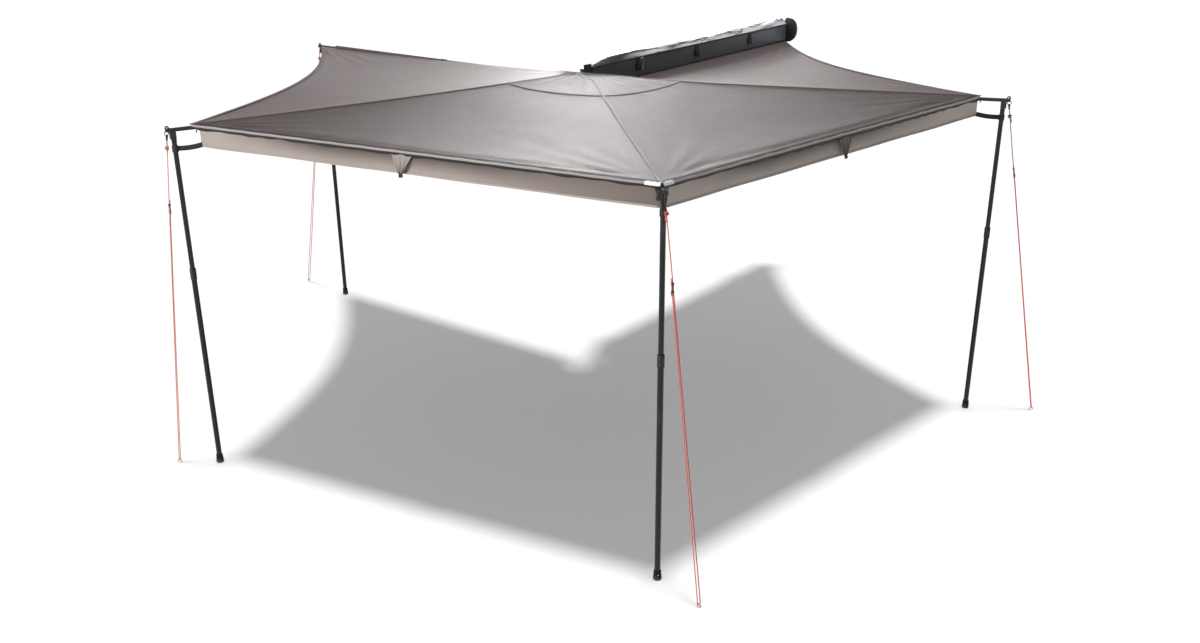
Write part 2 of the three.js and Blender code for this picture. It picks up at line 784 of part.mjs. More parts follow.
// A point on the ridge over an arm, a given distance out from the hub. Between the hub and its clamp
// the far arm lies bare, beside the canopy's laced edge.
function ridge(arm, reach) {
  const merge = THREE.MathUtils.smoothstep(reach, 0, ridgeMerge);
  const clampEnd = armReach * clampPlaceShare + clampLength / 2;
  const bare = arm === farArm ? 1 - THREE.MathUtils.smoothstep(reach, clampEnd, clampEnd + ridgeMerge) : 0;
  const beside = bare * (armWidth / 2 + clampWall + 2 * fit);
  const rise = Math.max(0, 1 - reach / riseReaches[arm.number - 1]) ** risePowers[arm.number - 1];
  const height = clothTop + (apexHeight - clothTop) * rise;
  const point = new THREE.Vector3((arm.side - beside) * merge, reach, height);
  point.applyAxisAngle(new THREE.Vector3(0, 0, 1), -arm.heading);
  return point.addScaledVector(apex, 1 - merge);
}

// The first panel's inner edge: from the hub over the clevis, then down and along the panel's foot
const edgeX = -wallInset + fit + seamGap;
const edgeZ = railBottom + clothThickness;
const hubEdge = new THREE.CatmullRomCurve3([
  new THREE.Vector3(apexShift[0], apexShift[1] + apexHole, apexHeight),
  new THREE.Vector3(edgeX * 0.45, railRear * 1.25, armHeight + plateOuter + pinHeadHeight),
  new THREE.Vector3(edgeX * 0.8, panelRear * 1.14, armHeight),
  new THREE.Vector3(edgeX, panelRear * 1.5, edgeZ + panelThickness),
  new THREE.Vector3(edgeX, panelRear * 2.4, edgeZ),
]);

function caseEdge(reach, end) {
  const share = (reach - apexHole) / (end - apexHole);
  const bend = (panelRear * 2.4 - apexHole) / (caseFront - fit - apexHole);
  if (share < bend) return hubEdge.getPoint(share / bend);
  const y = THREE.MathUtils.lerp(panelRear * 2.4, caseFront - seamGap, (share - bend) / (1 - bend));
  return new THREE.Vector3(edgeX, y, edgeZ);
}

function canopyPanel(number) {
  const [before, after] = [armPlaces[number - 2], armPlaces[number - 1]];
  const isFirst = number === 1;
  const open = isFirst || number === armCount;
  const endBefore = isFirst ? cornerReaches[0] : cornerReaches[number - 2];
  const endAfter = cornerReaches[number - 1];
  const point = (u, v) => {
    const cutBack = open ? openEdgeCutShare * 4 * v * (1 - v) : 0;
    const share = u * (1 - cutBack);
    const out = (end) => THREE.MathUtils.lerp(apexHole, end, share);
    const a = isFirst ? caseEdge(out(endBefore), endBefore) : ridge(before, out(endBefore));
    const b = ridge(after, out(endAfter));
    const apart = b.clone().sub(a);
    const inset = apart.clone().normalize().multiplyScalar(seamGap / 2);
    const p = a.clone().add(inset).lerp(b.clone().sub(inset), v);
    p.z -= clothSag * 27 * u * u * (1 - u) * v * (1 - v);
    return p;
  };
  return cloth(point, 13, 8, new THREE.Vector3(0, 0, -clothThickness));
}

// A valance hangs from the hem between two arms' corners
function valance(first, second) {
  const [from, to] = [first, second].map((arm) => ridge(arm, cornerReaches[arm.number - 1]));
  const way = to.clone().sub(from);
  const length = way.length();
  way.normalize();
  const inward = new THREE.Vector3(way.y, -way.x, 0);
  if (inward.dot(from) > 0) inward.negate();
  const top = from.z - clothThickness - 2 * fit;
  const point = (u, v) => {
    const p = from.clone().addScaledVector(way, THREE.MathUtils.lerp(valanceEndGap, length - valanceEndGap, u));
    p.addScaledVector(inward, fit + valanceThickness * (1 + Math.sin(u * Math.PI * 6) * v));
    return p.setZ(top - valanceDrop * v);
  };
  return cloth(point, 18, 2, inward.clone().multiplyScalar(valanceThickness));
}

for (let number = 1; number <= armCount; number += 1) {
  addPiece(hub, `canopy_panel_${number}`, canopyPanel(number), 'cloth');
}
addPiece(hub, 'valance_1', valance(armPlaces[0], armPlaces[1]), 'valance');
addPiece(hub, 'valance_2', valance(armPlaces[1], armPlaces[2]), 'valance');

hub.position.set(-footMiddle, -bracketPlaces.rear, -footUnder);

export default awning;
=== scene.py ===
import math

import bpy
import bmesh
from mathutils import Matrix, Vector, noise


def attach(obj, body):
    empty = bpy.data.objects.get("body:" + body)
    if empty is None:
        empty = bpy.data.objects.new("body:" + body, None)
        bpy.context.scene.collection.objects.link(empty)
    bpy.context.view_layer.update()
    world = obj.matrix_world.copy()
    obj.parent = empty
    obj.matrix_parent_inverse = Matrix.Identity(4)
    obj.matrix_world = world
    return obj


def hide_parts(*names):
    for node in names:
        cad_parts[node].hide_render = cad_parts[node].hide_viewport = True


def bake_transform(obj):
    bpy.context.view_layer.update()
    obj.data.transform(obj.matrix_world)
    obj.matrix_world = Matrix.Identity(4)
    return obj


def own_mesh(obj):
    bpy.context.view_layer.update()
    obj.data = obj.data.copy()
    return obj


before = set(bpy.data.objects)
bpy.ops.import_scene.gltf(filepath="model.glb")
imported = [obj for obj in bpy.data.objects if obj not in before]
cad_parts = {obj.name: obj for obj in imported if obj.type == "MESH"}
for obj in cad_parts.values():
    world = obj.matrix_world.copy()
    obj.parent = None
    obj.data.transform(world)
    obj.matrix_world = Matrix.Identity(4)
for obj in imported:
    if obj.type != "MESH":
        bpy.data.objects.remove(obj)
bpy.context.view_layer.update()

# ---------------------------------------------------------------------------------------------
# Studio. The camera stands beyond the awning's near corner and looks down on the open canopy. The
# floor is a plain pale sweep at the height of the feet. Soft light falls from straight above, and
# four soft boxes, one low on the left and three behind, give the cloth its even satin glow.

scene = bpy.context.scene
hub = Vector((0.1936, -0.450, -1.870))          # the hub pin's axis, where it meets the ground
ground = hub.z
up = Vector((0, 0, 1))
# The camera's bearing, its fall below the skyline and its lean to one side
aim, fall, lean = math.radians(38.438), math.radians(22.088), math.radians(-0.29)
look = Vector((-math.sin(aim) * math.cos(fall), math.cos(aim) * math.cos(fall), -math.sin(fall)))
level = look.cross(up).normalized()
over = level.cross(look)
right = level * math.cos(lean) + over * math.sin(lean)
upright = over * math.cos(lean) - level * math.sin(lean)

bpy.ops.object.select_all(action='DESELECT')
bpy.ops.object.camera_add(location=hub + Vector((4.315, -5.309, 3.119)))
camera = bpy.context.object
camera.rotation_mode = 'QUATERNION'
camera.rotation_quaternion = Matrix((right, upright, -look)).transposed().to_quaternion()
camera.data.sensor_width = 36
camera.data.lens = 34.865
camera.data.clip_end = 300
scene.camera = camera
scene.view_settings.view_transform = 'Standard'


def unselect():
    """Leaves edit mode and lets go of everything, so that an operator finds only its own piece."""
    if bpy.context.object and bpy.context.object.mode != 'OBJECT':
        bpy.ops.object.mode_set(mode='OBJECT')
    bpy.ops.object.select_all(action='DESELECT')


def shape(name, add, **settings):
    """One of Blender's own shapes, from the operator that adds it, under this name."""
    unselect()
    add(**settings)
    piece = bpy.context.object
    piece.name = name
    return piece


class Strand:
    """What a node gives out. Sums on it add the nodes that they need."""

    def __init__(self, wiring, socket):
        self.wiring, self.socket = wiring, socket

    def __add__(self, other):
        return self.wiring.sum('ADD', self, other)

    def __radd__(self, other):
        return self.wiring.sum('ADD', other, self)

    def __sub__(self, other):
        return self.wiring.sum('SUBTRACT', self, other)

    def __rsub__(self, other):
        return self.wiring.sum('SUBTRACT', other, self)

    def __mul__(self, other):
        return self.wiring.sum('MULTIPLY', self, other)

    def __rmul__(self, other):
        return self.wiring.sum('MULTIPLY', other, self)

    def __gt__(self, other):
        return self.wiring.sum('GREATER_THAN', self, other)


def dye(code):
    """The colour that a screen shows for a six figure code, as light."""
    parts = [int(code[n:n + 2], 16) / 255 for n in (0, 2, 4)]
    return tuple(p / 12.92 if p <= 0.04045 else ((p + 0.055) / 1.055) ** 2.4 for p in parts) + (1.0,)


class Wiring:
    """The nodes of a material or of the air."""

    def __init__(self, tree):
        self.tree = tree

    def give(self, socket, value):
        if isinstance(value, Strand):
            self.tree.links.new(value.socket, socket)
        else:
            socket.default_value = value

    def node(self, kind, settings=(), sockets=(), gives=0):
        made = self.tree.nodes.new(kind)
        for key, value in dict(settings).items():
            setattr(made, key, value)
        for socket, value in dict(sockets).items():
            self.give(made.inputs[socket], value)
        return Strand(self, made.outputs[gives])

    def sum(self, operation, *values):
        return self.node('ShaderNodeMath', {'operation': operation}, dict(enumerate(values)))

    def mix(self, share, first, second):
        """The first colour, and the second one where share is 1."""
        return self.node('ShaderNodeMix', {'data_type': 'RGBA'}, {0: share, 6: first, 7: second}, 2)

    def ray(self, kind):
        return self.node('ShaderNodeLightPath', gives=f'Is {kind} Ray')

    def seen(self):
        """1 for the rays that show the studio itself: to the camera, in a reflection or through glass."""
        either = self.sum('MAXIMUM', self.ray('Camera'), self.ray('Glossy'))
        return self.sum('MAXIMUM', either, self.ray('Transmission'))


class Finish(Wiring):
    """A material. Sockets that are the same all over are given by name when it is made."""

    def __init__(self, name, fixed=()):
        self.material = bpy.data.materials.new(name)
        self.material.use_nodes = True
        super().__init__(self.material.node_tree)
        self.shader = self.tree.nodes['Principled BSDF']
        self.set(**dict(fixed))

    def set(self, **sockets):
        for name, value in sockets.items():
            self.give(self.shader.inputs[name.replace('_', ' ')], value)

    def sine(self, value):
        return self.sum('SINE', value)

    def far(self, value):
        """How far the value is from 0, either way."""
        return self.sum('ABSOLUTE', value)

    def part(self, value):
        """The value's part after the point, which starts again at each whole number."""
        return self.sum('FRACT', value)

    def step(self, value, low, high):
        """0 below low and 1 above high, with an even climb between."""
        return self.node('ShaderNodeMapRange', {'clamp': True}, {0: value, 1: low, 2: high, 3: 0.0, 4: 1.0})

    def place(self, axis=None, kind='Object'):
        spot = self.node('ShaderNodeTexCoord', gives=kind)
        return spot if axis is None else self.node('ShaderNodeSeparateXYZ', (), {0: spot}, axis)

    def grain(self, size, detail=2.0, stretch=(1, 1, 1)):
        """Uneven patches about size metres across, from 0 to 1."""
        spot = self.node('ShaderNodeMapping', (), {0: self.place(), 3: stretch})
        return self.node('ShaderNodeTexNoise', (), {0: spot, 'Scale': 1 / size, 'Detail': detail})

    def relief(self, height, depth):
        """Bumps as high as depth, in metres, where height is 1."""
        self.set(Normal=self.node('ShaderNodeBump', (), {'Strength': 1.0, 'Distance': depth, 'Height': height}))


# The air is white to the camera. In reflections it is white at the skyline and dims overhead.
world = bpy.data.worlds.new('studio_air')
world.use_nodes = True
scene.world = world
air = Wiring(world.node_tree)
way_up = air.node('ShaderNodeSeparateXYZ', (), {0: air.node('ShaderNodeTexCoord', gives='Generated')}, 'Z')
ceiling = air.node('ShaderNodeMapRange', (), {'Value': way_up, 'From Min': 0.12, 'From Max': 0.22,
                                              'To Min': 1.0, 'To Max': 0.15})
white = air.sum('MAXIMUM', ceiling, air.ray('Camera'))
strength = air.node('ShaderNodeMix', (), {'Factor': air.seen(), 'A': 0.25, 'B': white}, 'Result')
background = air.tree.nodes['Background']
air.give(background.inputs['Color'], (1, 1, 1, 1))
air.give(background.inputs['Strength'], strength)


def lamp_from(name, kind, place, target, size, power, tall=None):
    bpy.ops.object.light_add(type=kind, location=hub + Vector(place))
    lamp = bpy.context.object
    lamp.name = name
    lamp.visible_camera = False
    lamp.data.energy = power
    if kind == 'SUN':
        lamp.data.angle = size
    else:
        lamp.data.shape, lamp.data.size, lamp.data.size_y = 'RECTANGLE', size, tall
    lamp.rotation_euler = (Vector(target) - Vector(place)).to_track_quat('-Z', 'Y').to_euler()
    return lamp


lamp_from('overhead', 'SUN', (0, 0, 8), (0, 0, 0), math.radians(6), 2.2)
soft_boxes = [
    lamp_from('left_box', 'AREA', (-1.5, -11.0, 3.6), (0.2, -0.8, 1.6), 3.5, 900, 3.0),
    lamp_from('rear_box', 'AREA', (-4.4, 5.3, 3.6), (0.3, -0.8, 1.8), 1.4, 285, 3.0),
    lamp_from('rear_right_box', 'AREA', (-4.3, 9.4, 3.3), (0.4, 1.3, 1.8), 1.6, 60, 0.8),
    lamp_from('rear_left_box', 'AREA', (-7.9, 6.6, 3.3), (-1.2, 0.0, 1.8), 1.6, 28, 0.8),
]

floor = shape('studio_floor', bpy.ops.mesh.primitive_plane_add, size=160, location=(hub.x, hub.y, ground))
floor_paint = bpy.data.materials.new('studio_floor')
floor_paint.use_nodes = True
sweep = Wiring(floor_paint.node_tree)
sweep.tree.nodes.remove(sweep.tree.nodes['Principled BSDF'])
shown = sweep.seen()
tone = sweep.mix(shown, (0.8, 0.8, 0.8, 1), (0.92, 0.92, 0.92, 1))
matt = sweep.node('ShaderNodeBsdfDiffuse', (), {'Color': tone})
haze = sweep.node('ShaderNodeEmission', (), {'Color': shown, 'Strength': 0.20})
both = sweep.node('ShaderNodeAddShader', (), {0: matt, 1: haze})
sweep.give(sweep.tree.nodes['Material Output'].inputs['Surface'], both)
floor.data.materials.append(floor_paint)
# the soft boxes light the awning only, so that its shadow on the floor stays one even grey
overhead_only = bpy.data.collections.new('lit_from_overhead_only')
overhead_only.objects.link(floor)
for lamp in soft_boxes:
    lamp.light_linking.receiver_collection = overhead_only
overhead_only.collection_objects[0].light_linking.link_state = 'EXCLUDE'

# ---------------------------------------------------------------------------------------------
# Guy ropes. Each is 5 mm braided polyester, knotted to the ring at an arm's end, run down through
# the tensioner to its peg, round the peg's crook and back up to a knot below the tensioner.

swing = math.radians(66.9)
arm_spacing = 0.044
arm_height = 1.852
arm_reach = 2.340
rope_thick = 0.005
crook = 0.0085                                  # the peg's crook, from its middle to the rope's
gripped_at = 0.205                              # the tensioner's place, as a share of the way down
# Where each peg stands from its leg's foot: sideways to the right of the arm, and outward along it
peg_places = {1: (-0.066, 0.380), 2: (-0.144, 0.239), 3: (0.114, 0.191), 4: (0.028, 0.445)}
# Along a rope: metres across, and share of the way from the ring to the peg's bend
rope_down = [(0, 0), (-.0015, .05), (-.003, .12), (-.004, .18), (-.004, .24), (-.0046, .35), (-.0056, .5),
             (-.0068, .68), (-.0078, .84), (-.0083, .94), (-.0085, 1)]
rope_up = [(.0085, 1), (.0083, .94), (.0078, .84), (.0068, .68), (.0056, .5), (.0046, .35), (.004, .24)]


def side_of(arm):
    """How far the arm stands to the right of the line through the hub, since the four lie side by side."""
    return (arm - 2.5) * arm_spacing


def by_arm(arm, across, out, height):
    """A spot beside an arm: metres to its right, out from the hub along it, and above the ground."""
    turn = swing * arm
    x = across * math.cos(turn) + out * math.sin(turn)
    y = out * math.cos(turn) - across * math.sin(turn)
    return hub + Vector((x, y, height))


def flowing(points, steps):
    """The same points with even steps between them, on a curve that turns smoothly through each."""
    ends = [points[0] * 2 - points[1]] + points + [points[-1] * 2 - points[-2]]
    made = []
    for n in range(1, len(ends) - 2):
        a, b, c, d = ends[n - 1:n + 3]
        for k in range(steps):
            t = k / steps
            made.append(0.5 * (2 * b + (c - a) * t + (2 * a - 5 * b + 4 * c - d) * t * t
                               + (3 * b - a - 3 * c + d) * t ** 3))
    return made + [points[-1].copy()]


def round_section(thick, sides=10):
    return [(math.cos(2 * math.pi * k / sides) * thick / 2, math.sin(2 * math.pi * k / sides) * thick / 2)
            for k in range(sides)]


def drawn(name, points, section, up=None):
    """A solid whose section follows points. Its UV map runs in metres, along it and round it. Where up
    is given, the section's second direction stays towards it."""
    shell = bpy.data.meshes.new(name)
    corners, rings, along = [], len(points), [0.0]
    carried = None
    for n, point in enumerate(points):
        ahead = (points[min(n + 1, rings - 1)] - points[max(n - 1, 0)]).normalized()
        if up is not None:
            wanted = up[n] if isinstance(up, list) else up
            side = ahead.cross(wanted).normalized()
            rise = side.cross(ahead)
        else:
            carried = ahead.orthogonal() if carried is None else carried - ahead * carried.dot(ahead)
            rise = carried.normalized()
            side = ahead.cross(rise)
            carried = rise
        corners += [point + side * x + rise * y for x, y in section]
        if n:
            along.append(along[-1] + (point - points[n - 1]).length)
    count = len(section)
    around = [0.0]
    for k in range(count):
        (x0, y0), (x1, y1) = section[k], section[(k + 1) % count]
        around.append(around[-1] + math.hypot(x1 - x0, y1 - y0))
    faces, spots = [], []
    for n in range(rings - 1):
        for k in range(count):
            m = (k + 1) % count
            faces.append((n * count + k, n * count + m, (n + 1) * count + m, (n + 1) * count + k))
            spots += [(along[n], around[k]), (along[n], around[k + 1]),
                      (along[n + 1], around[k + 1]), (along[n + 1], around[k])]
    for first, place in ((0, along[0]), ((rings - 1) * count, along[-1])):
        faces.append(tuple(first + k for k in range(count)))
        spots += [(place, around[k]) for k in range(count)]
    shell.from_pydata([tuple(c) for c in corners], [], faces)
    chart = shell.uv_layers.new(name='UVMap')
    for loop, spot in zip(chart.data, spots):
        loop.uv = spot
    piece = bpy.data.objects.new(name, shell)
    scene.collection.objects.link(piece)
    mended = bmesh.new()
    mended.from_mesh(shell)
    bmesh.ops.recalc_face_normals(mended, faces=mended.faces)
    mended.to_mesh(shell)
    mended.free()
    smooth(piece)
    return piece


def chosen(piece):
    """Lets go of all else, so that the next operator works on this piece."""
    unselect()
    piece.select_set(True)
    bpy.context.view_layer.objects.active = piece


def smooth(piece, angle=50):
    chosen(piece)
    bpy.ops.object.shade_smooth_by_angle(angle=math.radians(angle))


def applied(piece, kind, **settings):
    """Gives the piece a modifier with these settings, and applies it."""
    chosen(piece)
    modifier = piece.modifiers.new(kind.lower(), kind)
    for key, value in settings.items():
        setattr(modifier, key, value)
    bpy.ops.object.modifier_apply(modifier=modifier.name)


def editing(piece):
    """Goes into edit mode on the piece, with all of it selected."""
    chosen(piece)
    bpy.ops.object.mode_set(mode='EDIT')
    bpy.ops.mesh.select_all(action='SELECT')


def block(name, size, cuts, place=(0, 0, 0)):
    """A box of this size, with its faces cut into a grid."""
    piece = shape(name, bpy.ops.mesh.primitive_cube_add, size=1, location=place)
    piece.scale = size
    bpy.ops.object.transform_apply(location=False, rotation=False, scale=True)
    editing(piece)
    bpy.ops.mesh.subdivide(number_cuts=cuts)
    bpy.ops.object.mode_set(mode='OBJECT')
    return piece


def beside_arm(piece, arm, place):
    """Turns a shape that was made at the origin as its arm is turned, and takes it to its place."""
    piece.data.transform(Matrix.Rotation(-swing * arm, 4, 'Z'))
    piece.data.transform(Matrix.Translation(place))


def fitted(piece, body, slot, finish, *stands_for):
    """The piece takes its material, and goes with its body in place of the solids named. Slot is not used."""
    piece.data.materials.clear()
    piece.data.materials.append(finish.material)
    if stands_for:
        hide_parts(*stands_for)
    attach(piece, body)
    return piece


def braid(name, zones, pitch=0.006):
    """Braided cord: slanting strands round it, a little dirt, and fuzz that takes the shine off. Each
    zone is where it starts, in metres along the cord, and its pale and deep dyes."""
    finish = Finish(name, {'Sheen Weight': 0.35, 'Sheen Roughness': 0.5, 'Specular IOR Level': 0.3})
    along, around = finish.place(0, 'UV'), finish.place(1, 'UV')
    turn = 2 * math.pi / pitch
    strands = finish.sine(along * turn + around * 1500) * finish.sine(along * turn - around * 1500)
    worn = finish.grain(0.09, 3)
    share = finish.step(strands + worn * 0.8, -0.5, 1.1)
    colour = None
    for start, pale, deep in zones:
        here = finish.mix(share, dye(deep), dye(pale))
        colour = here if colour is None else finish.mix(along > start, colour, here)
    finish.set(Base_Color=colour, Roughness=0.72 + worn * 0.2)
    finish.relief(strands, rope_thick * 0.09)
    return finish


black_cord = (0.0, '26282b', '0c0d0e')
rope_braids = {
    1: braid('mauve_and_coral_braid', [black_cord, (0.052, '8f8184', '655a5e'), (0.40, 'ee6a5a', 'c2392d')]),
    2: braid('coral_braid', [black_cord, (0.052, 'f2786a', 'cf4436')]),
    3: braid('pale_coral_braid', [black_cord, (0.052, 'f0a294', 'd9705f')]),
    4: braid('faded_coral_braid', [black_cord, (0.052, 'ec8c7c', 'c85b4a')]),
}
loop_braid = braid('black_loop_braid', [black_cord])
maroon_braid = braid('maroon_knot_braid', [(0.0, '7a3340', '3d1019')])
coral_braid = braid('coral_knot_braid', [(0.0, 'f0796b', '8f1d17')])
moulded = Finish('tensioner_nylon', {'Specular IOR Level': 0.45})
speckle = moulded.grain(0.004, 4)
moulded.set(Base_Color=moulded.mix(speckle, dye('0b0c0d'), dye('1c1e20')), Roughness=0.42 + speckle * 0.2)
moulded.relief(speckle, 0.0002)

galvanised = Finish('galvanised_wire', {'Metallic': 1.0})
frost = galvanised.grain(0.006, 5)
rust = galvanised.step(galvanised.grain(0.03, 4), 0.6, 0.72)
galvanised.set(Base_Color=galvanised.mix(rust, galvanised.mix(frost, dye('83878a'), dye('c3c7c9')), dye('6b4a35')),
               Roughness=0.28 + frost * 0.25 + rust * 0.3)
galvanised.relief(frost, 0.0002)

for arm in (1, 2, 3, 4):
    sideways, outward = peg_places[arm]
    top = Vector((side_of(arm), arm_reach + 0.031, arm_height - 0.0263))
    bottom = Vector((side_of(arm) + sideways, arm_reach + outward, 0.0132))
    along = (bottom - top).normalized()
    across = Vector((along.y, -along.x, 0)).normalized()
    third = across.cross(along)
    span = (bottom - top).length - crook
    gripped = gripped_at * span

    def on_rope(sideward, distance, off=0.0):
        """A spot by the rope: to its right, down it from the ring, and behind it."""
        spot = top + across * sideward + along * distance + third * off
        return by_arm(arm, *spot)

    down = [on_rope(x, share * span) for x, share in rope_down]
    turn = [on_rope(crook * math.cos(math.pi * (1 - k / 6)), span + crook * math.sin(math.pi * (1 - k / 6)))
            for k in range(1, 6)]
    upward = [on_rope(x, share * span) for x, share in rope_up]
    route = flowing(down, 6)[:-1] + flowing([down[-1]] + turn + [upward[0]], 3)[:-1] + flowing(
        upward + [on_rope(0.004, gripped - 0.042)], 6)
    rope = drawn(f'rope_line_{arm}', route, round_section(rope_thick))
    fitted(rope, f'arm_{arm}', 'rope', rope_braids[arm], f'rope_{arm}')

    # a loop of black cord through the ring, and below it a fist of a knot with two short tails
    loop = []
    for k in range(15):
        turned_by = 2 * math.pi * k / 14
        loop.append(on_rope(0.0, -0.0004 + 0.0072 * (1 - math.cos(turned_by)) - 0.0045,
                            0.0046 * math.sin(turned_by)))
    fist = []
    for k in range(38):
        bend = 2 * math.pi * k / 36
        wide = 0.0031 * (2 + math.cos(3 * bend))
        fist.append(on_rope(-0.0015 + wide * math.cos(2 * bend), 0.062 + 0.0070 * math.sin(3 * bend),
                            wide * math.sin(2 * bend)))
    fist += [on_rope(0.0085, 0.072, 0.004), on_rope(0.0100, 0.084, 0.003), on_rope(0.0070, 0.096, 0.005)]
    wraps = [on_rope(0.0042 * math.cos(k * 0.75), 0.008 + 0.0008 * k, 0.0042 * math.sin(k * 0.75))
             for k in range(20)]
    knot = drawn(f'rope_knot_{arm}', flowing(fist, 2), round_section(rope_thick, 8))
    eye = drawn(f'rope_eye_{arm}', flowing(loop, 2) + flowing(wraps, 2), round_section(rope_thick * 0.8, 8))
    stop = [on_rope(0.004 + 0.0046 * math.cos(k * 0.8), gripped + 0.021 + 0.0009 * k, 0.0046 * math.sin(k * 0.8))
            for k in range(15)]
    end_knot = drawn(f'rope_stop_{arm}', flowing(stop, 2), round_section(rope_thick * 0.9, 8))
    for part, cord in ((knot, maroon_braid if arm == 1 else coral_braid), (eye, loop_braid), (end_knot, coral_braid)):
        fitted(part, f'arm_{arm}', 'rope', cord)

    # the tensioner: a dog-bone of black nylon, aslant between the two strands that it grips
    slider = block(f'line_tensioner_{arm}', (0.0178, 0.0108, 0.046), 9)
    for vertex in slider.data.vertices:
        away = min(1, abs(vertex.co.z) / 0.023)
        middle = (1 - away ** 2) ** 0.8 if away < 1 else 0.0
        blunt = max(0.0, (away - 0.72) / 0.28) ** 2
        vertex.co.x *= 1 - 0.52 * middle - 0.35 * blunt
        vertex.co.y *= 1 - 0.30 * middle - 0.20 * blunt
        vertex.co.x += 0.10 * vertex.co.z
    applied(slider, 'BEVEL', width=0.0018, segments=3, limit_method='ANGLE')
    slide = Matrix((across, third, along)).transposed().to_4x4()
    slide.translation = top + along * gripped
    slider.data.transform(slide)
    beside_arm(slider, arm, hub)
    smooth(slider)
    fitted(slider, f'arm_{arm}', 'plastic', moulded, f'tensioner_{arm}')

    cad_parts[f'peg_{arm}'].material_slots[0].material = galvanised.material
    length = sum((b - a).length for a, b in zip(route, route[1:]))

# ---------------------------------------------------------------------------------------------
# Base rail and its brackets. The rail is a black anodised aluminium extrusion; two folded steel
# brackets, powder coated, are screwed to its back, each with two bolts in its foot.

anodised = Finish('black_anodised', {'Metallic': 0.75, 'Specular IOR Level': 0.5})
lines = anodised.grain(0.0016, 2, (1, 0.02, 1))
scuffs = anodised.step(anodised.grain(0.05, 6), 0.6, 0.75)
anodised.set(Base_Color=anodised.mix(scuffs * 0.5, anodised.mix(lines, dye('17181b'), dye('2b2d31')), dye('55585c')),
             Roughness=0.34 + lines * 0.16)
anodised.relief(lines, 0.0001)

powder = Finish('black_powder_coat', {'Specular IOR Level': 0.5})
peel = powder.grain(0.0022, 3)
chips = powder.step(powder.grain(0.02, 5), 0.70, 0.74)
powder.set(Base_Color=powder.mix(chips * 0.6, powder.mix(peel, dye('0d0e10'), dye('1b1c1f')), dye('6c6e70')),
           Roughness=0.38 + peel * 0.18)
powder.relief(peel, 0.00025)

zinc = Finish('zinc_plate', {'Metallic': 1.0})
bloom = zinc.grain(0.004, 4)
zinc.set(Base_Color=zinc.mix(bloom, dye('9b9fa2'), dye('d6d9da')), Roughness=0.22 + bloom * 0.2)
zinc.relief(bloom, 0.0001)


def finished(finish, *names):
    """These solids are shown as they are, in this finish."""
    for name in names:
        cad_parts[name].material_slots[0].material = finish.material


finished(anodised, 'base_rail')
finished(powder, 'rack_bracket_rear', 'rack_bracket_front', 'hub_bracket')
finished(zinc, 'hub_pin', 'hub_nut')
finished(moulded, 'rear_end_cap')


def settled(piece, place=Vector()):
    """The finished shape keeps its place in its mesh, with its object at the origin."""
    chosen(piece)
    bpy.ops.object.transform_apply(location=True, rotation=True, scale=True)
    piece.data.transform(Matrix.Translation(place))
    return piece


def pick_faces(piece, wanted):
    """Goes into edit mode on the piece, with only the faces selected that are wanted."""
    chosen(piece)
    bpy.ops.object.mode_set(mode='EDIT')
    bpy.ops.mesh.select_mode(type='FACE')
    bpy.ops.mesh.select_all(action='DESELECT')
    bpy.ops.object.mode_set(mode='OBJECT')
    for face in piece.data.polygons:
        face.select = wanted(face)
    bpy.ops.object.mode_set(mode='EDIT')


def bolt(name, place, across, tall):
    """A hexagon head on its washer, chamfered."""
    head = shape(name, bpy.ops.mesh.primitive_cylinder_add, vertices=6, radius=across / 2, depth=tall)
    pick_faces(head, lambda face: face.normal.z < -0.9)
    bpy.ops.mesh.extrude_region_move(TRANSFORM_OT_translate={'value': (0, 0, -tall * 0.12)})
    bpy.ops.transform.resize(value=(1.45, 1.45, 1))
    bpy.ops.mesh.extrude_region_move(TRANSFORM_OT_translate={'value': (0, 0, -tall * 0.22)})
    bpy.ops.object.mode_set(mode='OBJECT')
    applied(head, 'BEVEL', width=tall * 0.1, segments=2, limit_method='ANGLE')
    smooth(head, 30)
    return settled(head, place)


rail_bottom, rail_top = 1.786, 1.911
wall = -0.090
for name, place in (('rear', 0.450), ('front', 2.050)):
    for n, side in enumerate((-1, 1)):
        spot = hub + Vector((-0.1936 + side * 0.032, place, 1.876 + 0.0035))
        fitted(bolt(f'bracket_bolt_{name}_{n + 1}', spot, 0.013, 0.006), 'case', 'steel', zinc)

# ---------------------------------------------------------------------------------------------
# Storage bag. Its inner face is a stiff charcoal PVC panel on the rail, bound in black along its
# foot and round its lower rear corner; the flap is softer glossy PVC, folded back over the top.

case_front = 2.4897
panel_rear, panel_corner = 0.175, 0.090

charcoal = Finish('charcoal_pvc', {'Specular IOR Level': 0.5, 'Coat Roughness': 0.35})
scrim = charcoal.sine(charcoal.place(1) * 2400) * charcoal.sine(charcoal.place(2) * 2400)
dust = charcoal.grain(0.35, 4)
# the panel is painted lighter towards the bag's front: painted sheen, mixed with the random dust patches
painted_front_sheen = charcoal.step(charcoal.place(1), -0.2, 2.0)
charcoal.set(Base_Color=charcoal.mix(dust * 0.35 + painted_front_sheen * 0.65, dye('33373c'), dye('6b707a')),
             Roughness=0.36 + dust * 0.22, Coat_Weight=0.15)
charcoal.relief(scrim * 0.3 + charcoal.grain(0.012, 3), 0.0004)

black_pvc = Finish('black_pvc', {'Specular IOR Level': 0.6})
folds = black_pvc.grain(0.02, 4)
black_pvc.set(Base_Color=black_pvc.mix(folds, dye('08090a'), dye('18191c')), Roughness=0.24 + folds * 0.22)
black_pvc.relief(folds, 0.0006)


def cloth(name, spot, columns, rows):
    """A sheet shaped from a flat grid: spot(u, v) places each point of its outer face. The grid's own
    UV map stays, from 0 to 1 both ways."""
    sheet = shape(name, bpy.ops.mesh.primitive_grid_add, x_subdivisions=columns, y_subdivisions=rows, size=1)
    for vertex in sheet.data.vertices:
        vertex.co = spot(vertex.co.x + 0.5, vertex.co.y + 0.5)
    return sheet


